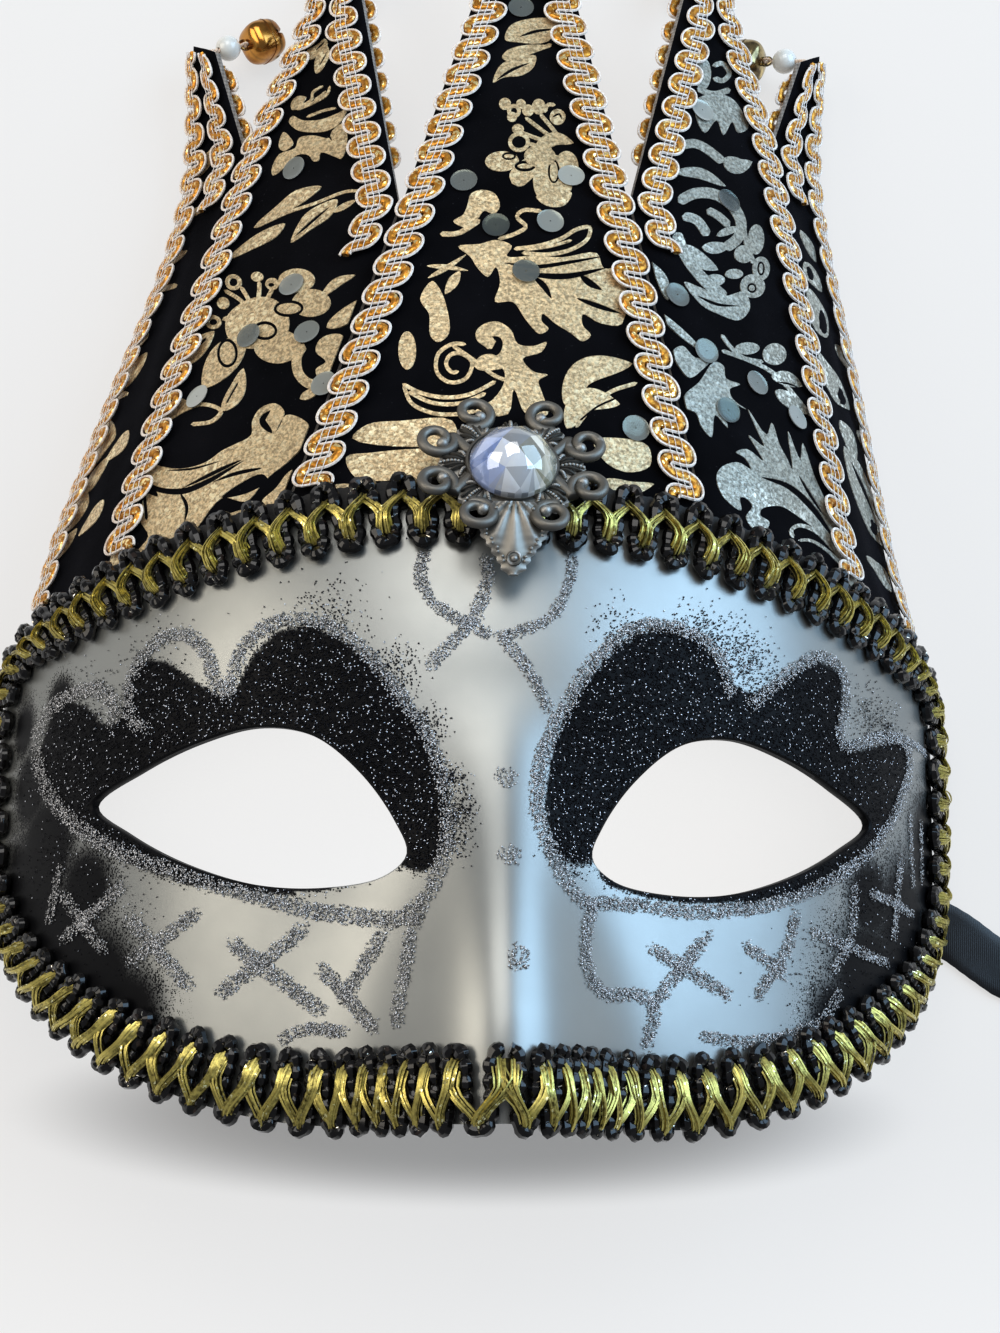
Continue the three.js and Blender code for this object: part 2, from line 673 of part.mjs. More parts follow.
// A braid starts at the foot, or a little below the valley where a neighbour's braid covers the seam.
const belowValleyA = (panel) => panel.valleyA - braidTail / panel.lengthA;
const belowValleyB = (panel) => panel.valleyB - braidTail / panel.lengthB;
const braidStarts = {
  outer_left: { a: 0, b: belowValleyB(panels.outer_left) },
  inner_left: { a: 0, b: belowValleyB(panels.inner_left) },
  middle: { a: 0, b: 0 },
  inner_right: { a: belowValleyA(panels.inner_right), b: 0 },
  outer_right: { a: belowValleyA(panels.outer_right), b: 0 },
};
for (const [name, panel] of Object.entries(panels)) {
  const rows = [...new Set([...steps(12), panel.valleyA, panel.valleyB])].sort((a, b) => a - b);
  const inset = (v) => {
    const edge = panelGap / 2 / panel.width(v);
    return [edge, 1 - edge];
  };
  add("crown_point_" + name, panelStrip(panel, rows, steps(5), inset, -panelWall, 0), "velvet");
  add("braid_" + name + "_a", braid(panel, 0, braidStarts[name].a), "gimp");
  add("braid_" + name + "_b", braid(panel, 1, braidStarts[name].b), "gimp");
  if (panel.valleyA) add("lining_" + name + "_a", backBraid(panel, 0), "gimp");
  if (panel.valleyB) add("lining_" + name + "_b", backBraid(panel, 1), "gimp");
}

tipBell("outer_left", panels.outer_left, 0.75, vec(0.86, 0.5, 0), 0.85);
tipBell("inner_left", panels.inner_left, 0.5, vec(0.2, 1, 0), 0.85);
tipBell("middle", panels.middle, 0.5, vec(0.05, 1, 0), 0.85);
tipBell("inner_right", panels.inner_right, 0.5, vec(-0.2, 1, 0), 0.85);
tipBell("outer_right", panels.outer_right, 0.25, vec(-0.95, 0.2, 0), 0.85);

// The brooch leans on the trim's outer edge over the middle of the forehead.
const topNormal = faceNormal(0, faceTop);
const trimEdge = onFace(0, faceTop).addScaledVector(topNormal, trimSeat + trimThickness);
const ornament = new THREE.Group();
ornament.rotation.x = -broochTilt;
ornament.position.copy(trimEdge).setX(broochShift);
ornament.translateY(-broochDrop).translateZ(2 * gap);
const casting = add("brooch", brooch(), "pewter");
const gem = add("brooch_stone", stone(), "stone");
gem.position.set(0, -stoneDrop, broochPlate + gap);
ornament.add(casting, gem);
group.add(ornament);

// The origin is under the middle of everything but the ties.
const bounds = new THREE.Box3().setFromObject(group, true);
const middle = bounds.getCenter(vec());
group.position.set(-middle.x, -middle.y, -bounds.min.z);
add("tie_left", ribbon(-1), "satin");
add("tie_right", ribbon(1), "satin");

export default group;
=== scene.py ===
"""A jester half mask with a five-pointed crown, dressed round its measured frame.

Shapes are worked out in millimetres in the face's own axes: X across, Y towards the crown's tips from the
eye line, Z out of the table. They turn into metres in the frame's axes when a mesh is made.
"""

import math

import bmesh
import bpy
import numpy as np
from mathutils import Matrix, Vector
from mathutils.geometry import delaunay_2d_cdt


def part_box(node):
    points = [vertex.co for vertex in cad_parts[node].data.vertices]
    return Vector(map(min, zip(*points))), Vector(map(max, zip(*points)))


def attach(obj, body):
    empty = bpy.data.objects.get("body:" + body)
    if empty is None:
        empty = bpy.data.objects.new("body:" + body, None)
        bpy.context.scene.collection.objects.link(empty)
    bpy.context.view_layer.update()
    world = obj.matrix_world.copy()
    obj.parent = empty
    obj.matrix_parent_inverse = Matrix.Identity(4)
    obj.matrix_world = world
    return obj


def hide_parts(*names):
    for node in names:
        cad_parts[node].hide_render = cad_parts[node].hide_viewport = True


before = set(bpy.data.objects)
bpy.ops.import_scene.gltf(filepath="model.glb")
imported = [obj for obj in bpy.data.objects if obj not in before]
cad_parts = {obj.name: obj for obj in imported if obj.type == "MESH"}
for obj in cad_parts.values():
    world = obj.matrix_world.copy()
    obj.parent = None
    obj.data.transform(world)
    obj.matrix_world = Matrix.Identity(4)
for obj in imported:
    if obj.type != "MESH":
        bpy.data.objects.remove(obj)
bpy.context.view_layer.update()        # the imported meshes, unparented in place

bl_info = {
    "name": "Jester mask",
    "version": (1, 0, 0),
    "blender": (4, 5, 0),
    "location": "3D View > Sidebar > Mask",
    "description": "Builds a jester half mask with a braided crown, piece by piece",
    "category": "Add Mesh",
}

MM = 0.001

# Moulded face, as the frame has it
face_half_width = 79.5
face_top = 48.5
face_bottom = 44.9
face_depth = 62.0
face_edge_height = 2.4
face_side_tuck = 4.5
face_wall = 1.8
forehead_fall = 5.9
brow_height = 10.0
nose_rise = 17.0
nose_bridge = 20.0
nose_tip = 38.0
nose_half_width_top = 8.0
nose_half_width_tip = 15.5
eye_centre = 37.0
eye_length = 47.2
eye_height = 23.5

# Trim round the face
trim_width = 10.7
trim_extra_width = 2.2
trim_overhang = 2.0
trim_pitch = 6.1

# Crown
crown_rise = 118.5
crown_lean = 0.055
crown_slant = 0.06
crown_axis_depth = 2.0
crown_back_tilt = 0.3
panel_wall = 2.0
panel_gap = 0.5
tip_width = 7.8
braid_width = 7.3
braid_pitch = 5.6
back_braid_shows = 1.0
braid_tail = 11.0
left_tip_shift = (-2.0, 2.6, 0.0)
gap = 0.35

# The part's origin in the face's axes: under the middle of everything but the ties
face_low, face_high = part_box("face_shell")
origin = np.array([0.0, face_top - face_high.y / MM, 0.074])
table = origin[2] + 0.02


def to_part(points):
    """Metres in the frame's axes from millimetres in the face's."""
    return (np.asarray(points, float) - origin) * MM


def mix(a, b, share):
    return a + (b - a) * share


def smoothstep(x, low, high):
    t = np.clip((x - low) / (high - low), 0, 1)
    return t * t * (3 - 2 * t)


def unit(vectors):
    return vectors / np.maximum(np.linalg.norm(vectors, axis=-1, keepdims=True), 1e-12)


# Curves


def centripetal(points, closed=False, each=40):
    """Close points on a centripetal Catmull-Rom curve through the given ones."""
    points = np.asarray(points, float)
    if closed:
        padded = np.concatenate([points[-1:], points, points[:2]])
    else:
        padded = np.concatenate([2 * points[:1] - points[1:2], points, 2 * points[-1:] - points[-2:-1]])
    t = np.linspace(0, 1, each, endpoint=False)[:, None]
    pieces = []
    for p0, p1, p2, p3 in zip(padded, padded[1:], padded[2:], padded[3:]):
        d0, d1, d2 = (max(np.linalg.norm(b - a), 1e-6) ** 0.5 for a, b in ((p0, p1), (p1, p2), (p2, p3)))
        t1 = ((p1 - p0) / d0 - (p2 - p0) / (d0 + d1) + (p2 - p1) / d1) * d1
        t2 = ((p2 - p1) / d1 - (p3 - p1) / (d1 + d2) + (p3 - p2) / d2) * d1
        a, b = 2 * p1 - 2 * p2 + t1 + t2, -3 * p1 + 3 * p2 - 2 * t1 - t2
        pieces.append(((a * t + b) * t + t1) * t + p1)
    if not closed:
        pieces.append(points[-1:])
    return np.concatenate(pieces)


class Route:
    """A line of close points that is read by share of its length."""

    def __init__(self, points):
        self.points = np.asarray(points, float)
        steps = np.linalg.norm(np.diff(self.points, axis=0), axis=1)
        self.measure = np.concatenate([[0], np.cumsum(steps)])
        self.length = self.measure[-1]

    def at(self, share):
        place = np.asarray(share, float) * self.length
        return np.stack([np.interp(place, self.measure, axis) for axis in self.points.T], -1)

    def spaced(self, spacing):
        return self.at(np.linspace(0, 1, max(2, int(round(self.length / spacing)) + 1)))


# The face's outer surface

arch_half_width = face_half_width + face_side_tuck
arch_depth = (face_depth - face_edge_height) / (1 - math.sqrt(1 - (face_half_width / arch_half_width) ** 2))


def face_height(x, y):
    across = np.minimum(np.abs(x) / arch_half_width, 0.999)
    arch = face_depth - arch_depth * (1 - np.sqrt(1 - across**2))
    down = smoothstep(nose_bridge - y, 0, nose_bridge + nose_tip)
    nose_half_width = mix(nose_half_width_top, nose_half_width_tip, down)
    nose = nose_rise * down * np.exp(-((x / nose_half_width) ** 2))
    back = np.maximum(0, (y - brow_height) / (face_top - brow_height))
    return arch + nose - forehead_fall * back**2


def on_face(x, y):
    return np.stack([x, y, face_height(x, y)], -1)


def face_normal(x, y):
    step = 0.05
    inward = np.where(x > 0, -step, step)
    along_x = (on_face(x + inward, y) - on_face(x, y)) / inward[..., None]
    along_y = on_face(x, y + step) - on_face(x, y - step)
    normal = np.cross(along_x, along_y)
    normal[..., 0] = np.where(np.abs(x) < 1e-6, 0, normal[..., 0])
    return unit(normal)


# The half outline, from the top of the midline round the side: shares across and up
outline_shares = [
    (0, 1), (0.25, 0.982), (0.56, 0.88), (0.82, 0.735), (0.94, 0.62), (0.992, 0.46), (1, 0.1),
    (0.984, -0.24), (0.898, -0.54), (0.755, -0.765), (0.57, -0.92), (0.35, -1), (0.15, -0.985), (0, -0.975),
]
outline_points = [(a * face_half_width, u * (face_top if u > 0 else face_bottom)) for a, u in outline_shares]
outline = Route(centripetal(outline_points))
top_stretch = outline.points[outline.points[:, 1] > 0.46 * face_top]

# The eye opening: shares of its half length outwards and of its half height
eye_shares = [
    (1, 0.14), (0.68, 0.53), (0.3, 0.84), (-0.08, 1), (-0.42, 0.87), (-0.72, 0.39), (-0.93, -0.2),
    (-1, -0.6), (-0.87, -0.86), (-0.51, -1), (-0.08, -0.95), (0.38, -0.66), (0.76, -0.25),
]
eye_points = [(eye_centre + out * eye_length / 2, up * eye_height / 2) for out, up in eye_shares]
eye_path = centripetal(eye_points, closed=True)


def top_edge(x):
    """The height of the outline's top stretch at a place across the face."""
    return np.interp(np.abs(x), top_stretch[:, 0], top_stretch[:, 1])


def eye_reach(angle):
    """How far the eye opening reaches from its centre in a direction."""
    offset = eye_path - [eye_centre, 0]
    turns = np.arctan2(offset[:, 1], offset[:, 0])
    order = np.argsort(turns)
    return np.interp(angle, turns[order], np.hypot(*offset[order].T), period=2 * math.pi)


def outside_eyes(x, y, margin=0.0):
    offset_x, offset_y = np.abs(x) - eye_centre, y
    return np.hypot(offset_x, offset_y) > eye_reach(np.arctan2(offset_y, offset_x)) + margin


# The camera that the photograph was taken with, in the face's axes

camera_place = np.array([-24.9, -34.8, 373.8])
camera_turn = math.radians(-4.5)
camera_rise = math.radians(10)
camera_roll = math.radians(0.9)
photo_width, photo_height = 1000, 1333
focal_pixels = 2200


def camera_axes():
    """Right, up and backwards of the camera."""
    back = np.array([
        math.sin(camera_turn) * math.cos(camera_rise), -math.sin(camera_rise),
        math.cos(camera_turn) * math.cos(camera_rise),
    ])
    right = unit(np.cross(-back, [0, 1, 0]))
    up = np.cross(right, -back)
    c, s = math.cos(camera_roll), math.sin(camera_roll)
    return c * right + s * up, c * up - s * right, back


def to_pixels(points):
    right, up, back = camera_axes()
    offset = points - camera_place
    depth = -(offset @ back)
    return np.stack([
        photo_width / 2 + focal_pixels * (offset @ right) / depth,
        photo_height / 2 - focal_pixels * (offset @ up) / depth,
    ], -1)


def ray(pixels):
    right, up, back = camera_axes()
    pixels = np.asarray(pixels, float)
    across = (pixels[:, :1] - photo_width / 2) / focal_pixels
    rise = (photo_height / 2 - pixels[:, 1:]) / focal_pixels
    return across * right + rise * up - back


def face_at(pixels):
    """Where the photograph's pixels lie on the face."""
    way = ray(pixels)
    near = (90 - camera_place[2]) / way[:, 2]
    far = -camera_place[2] / way[:, 2]
    for _ in range(26):
        middle = (near + far) / 2
        p = camera_place + way * middle[:, None]
        above = p[:, 2] > face_height(p[:, 0], p[:, 1])
        near, far = np.where(above, middle, near), np.where(above, far, middle)
    p = camera_place + way * far[:, None]
    return on_face(p[:, 0], p[:, 1])


# Crown: places as shares of the half width across, of the rise and of the face's depth

crown_places = {
    "inner_valley": (0.237, 0.443, 0.613),
    "outer_seam_middle": (0.687, 0.232, 0.37),
    "outer_valley": (0.579, 0.595, 0.242),
    "outer_edge_low": (0.823, 0.22, 0.1),
    "outer_edge_high": (0.714, 0.55, 0.07),
    "middle_tip": (0, 1, 0.25),
    "inner_tip": (0.41, 0.865, 0.25),
    "outer_tip": (0.675, 0.768, 0.13),
}
seam_inner, seam_outer, seam_edge = 0.405, 0.766, 0.93


def crown_place(name, side):
    across, rise, depth = crown_places[name]
    return np.array([side * across * face_half_width, face_top + rise * crown_rise, depth * face_depth])


def crown_foot(across):
    x = np.asarray(across, float) * face_half_width
    inside = np.abs(x) * (1 - panel_wall / np.hypot(x, face_height(x, top_edge(x))))
    return on_face(x, top_edge(inside) + 1.6 * gap)


def leaning(p):
    rise = np.maximum(0, p[..., 1] - face_top)
    slant = crown_slant * np.minimum(1, 2.5 * rise / crown_rise)
    return np.stack([p[..., 0] + crown_lean * rise, p[..., 1] + slant * p[..., 0], p[..., 2]], -1)


def crown_normal(p):
    x = p[..., 0] - crown_lean * np.maximum(0, p[..., 1] - face_top)
    z = p[..., 2] + crown_axis_depth
    return unit(np.stack([x, crown_back_tilt * np.hypot(x, z), z], -1))


class Panel:
    """One point of the crown, read by shares across (u) and up (v)."""

    def __init__(self, name, feet, seams, frees, tip, turn, tilt):
        self.name, self.feet = name, feet
        across = unit(np.array([math.cos(turn) * math.cos(tilt), math.sin(turn),
                                math.sin(tilt)])) * tip_width / 2
        self.edges, self.valleys = [], []
        for foot, seam, free, end in zip(feet, seams, frees, (tip - across, tip + across)):
            start = [crown_foot(foot)]
            low = centripetal(start + seam) if seam else np.array(start)
            high = centripetal([*(start + seam)[-1:], *free, end])
            edge = Route(np.concatenate([low[:-1], high]))
            self.edges.append(edge)
            self.valleys.append(Route(low).length / edge.length if seam else 0)
        self.foot_ends = [edge.points[0] for edge in self.edges]
        self.foot_width = np.linalg.norm(self.foot_ends[1] - self.foot_ends[0])

    def width(self, v):
        return np.linalg.norm(self.edges[1].at(v) - self.edges[0].at(v), axis=-1)

    def at(self, u, v, off=0.0):
        u, v, off = np.broadcast_arrays(u, v, off)
        a, b = self.edges[0].at(v), self.edges[1].at(v)
        share = u[..., None]
        bow = crown_foot(mix(self.feet[0], self.feet[1], u)) - mix(self.foot_ends[0], self.foot_ends[1],
                                                                   share)
        narrowing = (np.linalg.norm(b - a, axis=-1) / self.foot_width) ** 2
        p = leaning(mix(a, b, share) + bow * narrowing[..., None])
        return p + crown_normal(p) * off[..., None]

    def normal(self, u, v):
        return crown_normal(self.at(u, v))

    def found(self, pixels):
        """Shares (u, v) of the places that the photograph's pixels show."""
        rows, columns = 90, 40
        v, u = (g.ravel() for g in np.meshgrid(np.linspace(0, 1, rows), np.linspace(0, 1, columns),
                                               indexing="ij"))
        seen = to_pixels(self.at(u, v))
        blocks = np.array_split(pixels, 1 + len(pixels) // 400)
        best = np.concatenate([np.argmin(((block[:, None] - seen[None]) ** 2).sum(-1), 1) for block in blocks])
        u, v = u[best].copy(), v[best].copy()
        step = 1e-4
        for _ in range(8):
            here = to_pixels(self.at(u, v))
            du = (to_pixels(self.at(u + step, v)) - here) / step
            dv = (to_pixels(self.at(u, v + step)) - here) / step
            miss = pixels - here
            det = du[:, 0] * dv[:, 1] - du[:, 1] * dv[:, 0]
            det = np.where(np.abs(det) < 1, 1, det)
            u = np.clip(u + np.clip((miss[:, 0] * dv[:, 1] - miss[:, 1] * dv[:, 0]) / det, -0.1, 0.1),
                        -0.2, 1.2)
            v = np.clip(v + np.clip((du[:, 0] * miss[:, 1] - du[:, 1] * miss[:, 0]) / det, -0.1, 0.1), 0, 1)
        return u, v


def crown_panels():
    def seams(side):
        foot, valley = crown_foot(side * seam_inner), crown_place("inner_valley", side)
        return {
            "inner": [(foot + valley) / 2, valley],
            "outer": [crown_place("outer_seam_middle", side), crown_place("outer_valley", side)],
            "edge": [crown_place("outer_edge_low", side), crown_place("outer_edge_high", side)],
        }

    left, right = seams(-1), seams(1)
    tip = crown_place
    panels = [
        Panel("outer_left", (-seam_edge, -seam_outer), ([], left["outer"]), (left["edge"], []),
              tip("outer_tip", -1) + left_tip_shift, -0.5, 0.85),
        Panel("inner_left", (-seam_outer, -seam_inner), (left["outer"], left["inner"]), ([], []),
              tip("inner_tip", -1), -0.14, 0.55),
        Panel("middle", (-seam_inner, seam_inner), (left["inner"], right["inner"]), ([], []),
              tip("middle_tip", 1), 0, 0),
        Panel("inner_right", (seam_inner, seam_outer), (right["inner"], right["outer"]), ([], []),
              tip("inner_tip", 1), 0.14, -0.55),
        Panel("outer_right", (seam_outer, seam_edge), (right["outer"], []), ([], right["edge"]),
              tip("outer_tip", 1), 0.5, -0.85),
    ]
    return {panel.name: panel for panel in panels}


panels = crown_panels()


# Glitter, charted on the photograph: polylines with their width on the face in millimetres

silver_lines = """
2.3 148,730 132,718 130,689 143,657 168,636 189,636 207,654 214,679 226,694 236,664 250,639 \
279,621 314,621 346,636 379,668 411,711 432,746 443,786 448,829 439,871 421,904
3.2 222,690 232,686
2.6 421,904 404,918 357,916 314,911 271,900 221,886 171,870 125,854 82,829 54,800 39,764 39,732 \
50,711 71,696 96,689 114,704 114,725
1.9 421,911 411,936 404,975 396,1025
2.1 64,896 104,950
2.1 123,886 64,939
1.7 61,868 50,921
2.2 129,918 189,986
2.2 196,914 129,964
2.4 232,943 321,1011
2.4 304,929 221,993
2.2 321,968 375,1029
2.2 384,932 343,1000
1.9 282,1039 311,1029 343,1032
2.4 729,696 725,671 714,650 686,632 650,625 618,639 589,668 568,704 550,736 539,771 539,814 \
554,857 568,886 586,904
2.2 586,904 625,904 671,911 721,911 771,904 814,889 854,864 882,836 900,800 909,764 904,743 \
875,739 843,746 839,732 846,696 839,668 821,657 796,668 771,689 750,707
1.3 904,739 925,754
2.1 593,904 586,936 589,975 604,993 643,996 654,1007 646,1046
2.2 654,950 729,996
2.2 707,936 654,1004
2.0 746,946 786,975
2.0 796,914 786,950 757,996
1.8 811,932 886,964
1.8 854,886 850,939 832,971
1.7 900,857 893,939
1.7 871,893 911,914
1.2 909,814 912,886
1.2 920,821 921,882
1.9 704,1036 745,1042 786,1036 821,1021 839,993
2.0 425,551 420,572 428,596 446,612 490,635
2.2 486,559 488,579 481,601 473,619 430,665
1.7 572,551 571,576 562,599 549,619 500,637
1.9 500,635 525,665 550,710
3.0 502,776 510,778
3.0 506,855 514,856
3.0 518,952 519,963
"""

# Black glitter: outlines of the patches, eye openings left out later
black_patches = """
46,793 43,743 54,715 80,702 112,728 129,682 143,661 168,664 193,682 229,696 246,668 264,643 \
302,624 341,638 380,669 414,712 439,758 448,800 446,838 436,862 420,872 403,866 332,888 282,893 \
232,889 186,883 140,866 93,842 64,812
561,858 547,821 548,775 561,726 586,680 621,644 656,626 687,630 715,656 729,680 750,694 786,677 \
817,663 838,673 842,701 838,733 856,750 891,742 907,745 906,775 894,815 878,842 852,868 818,888 \
775,899 740,903 660,899 620,889 601,877 600,862 580,864
"""

# Loose black flakes outside the patches: pixel, spread on the face in millimetres, number
black_dust = """
150,650 3.0 120
330,615 2.6 260
395,670 2.0 300
428,725 1.6 220
452,780 1.2 200
460,812 1.2 240
455,842 1.3 160
90,700 3.0 220
35,780 2.5 160
60,860 4.0 300
100,900 5.0 260
620,630 2.2 200
700,632 2.2 300
735,652 2.6 420
758,672 2.2 260
868,715 2.6 340
890,730 2.2 260
560,845 1.4 160
575,862 1.2 120
860,880 4.0 300
890,940 5.0 300
820,980 5.0 200
330,640 6.0 80
"""

# Foil ornament of the crown, charted on the photograph. A minus sign cuts, the number is a width in pixels;
# leaf has pointed ends, line even ones, area is an outline and disc a centre with its two reaches.

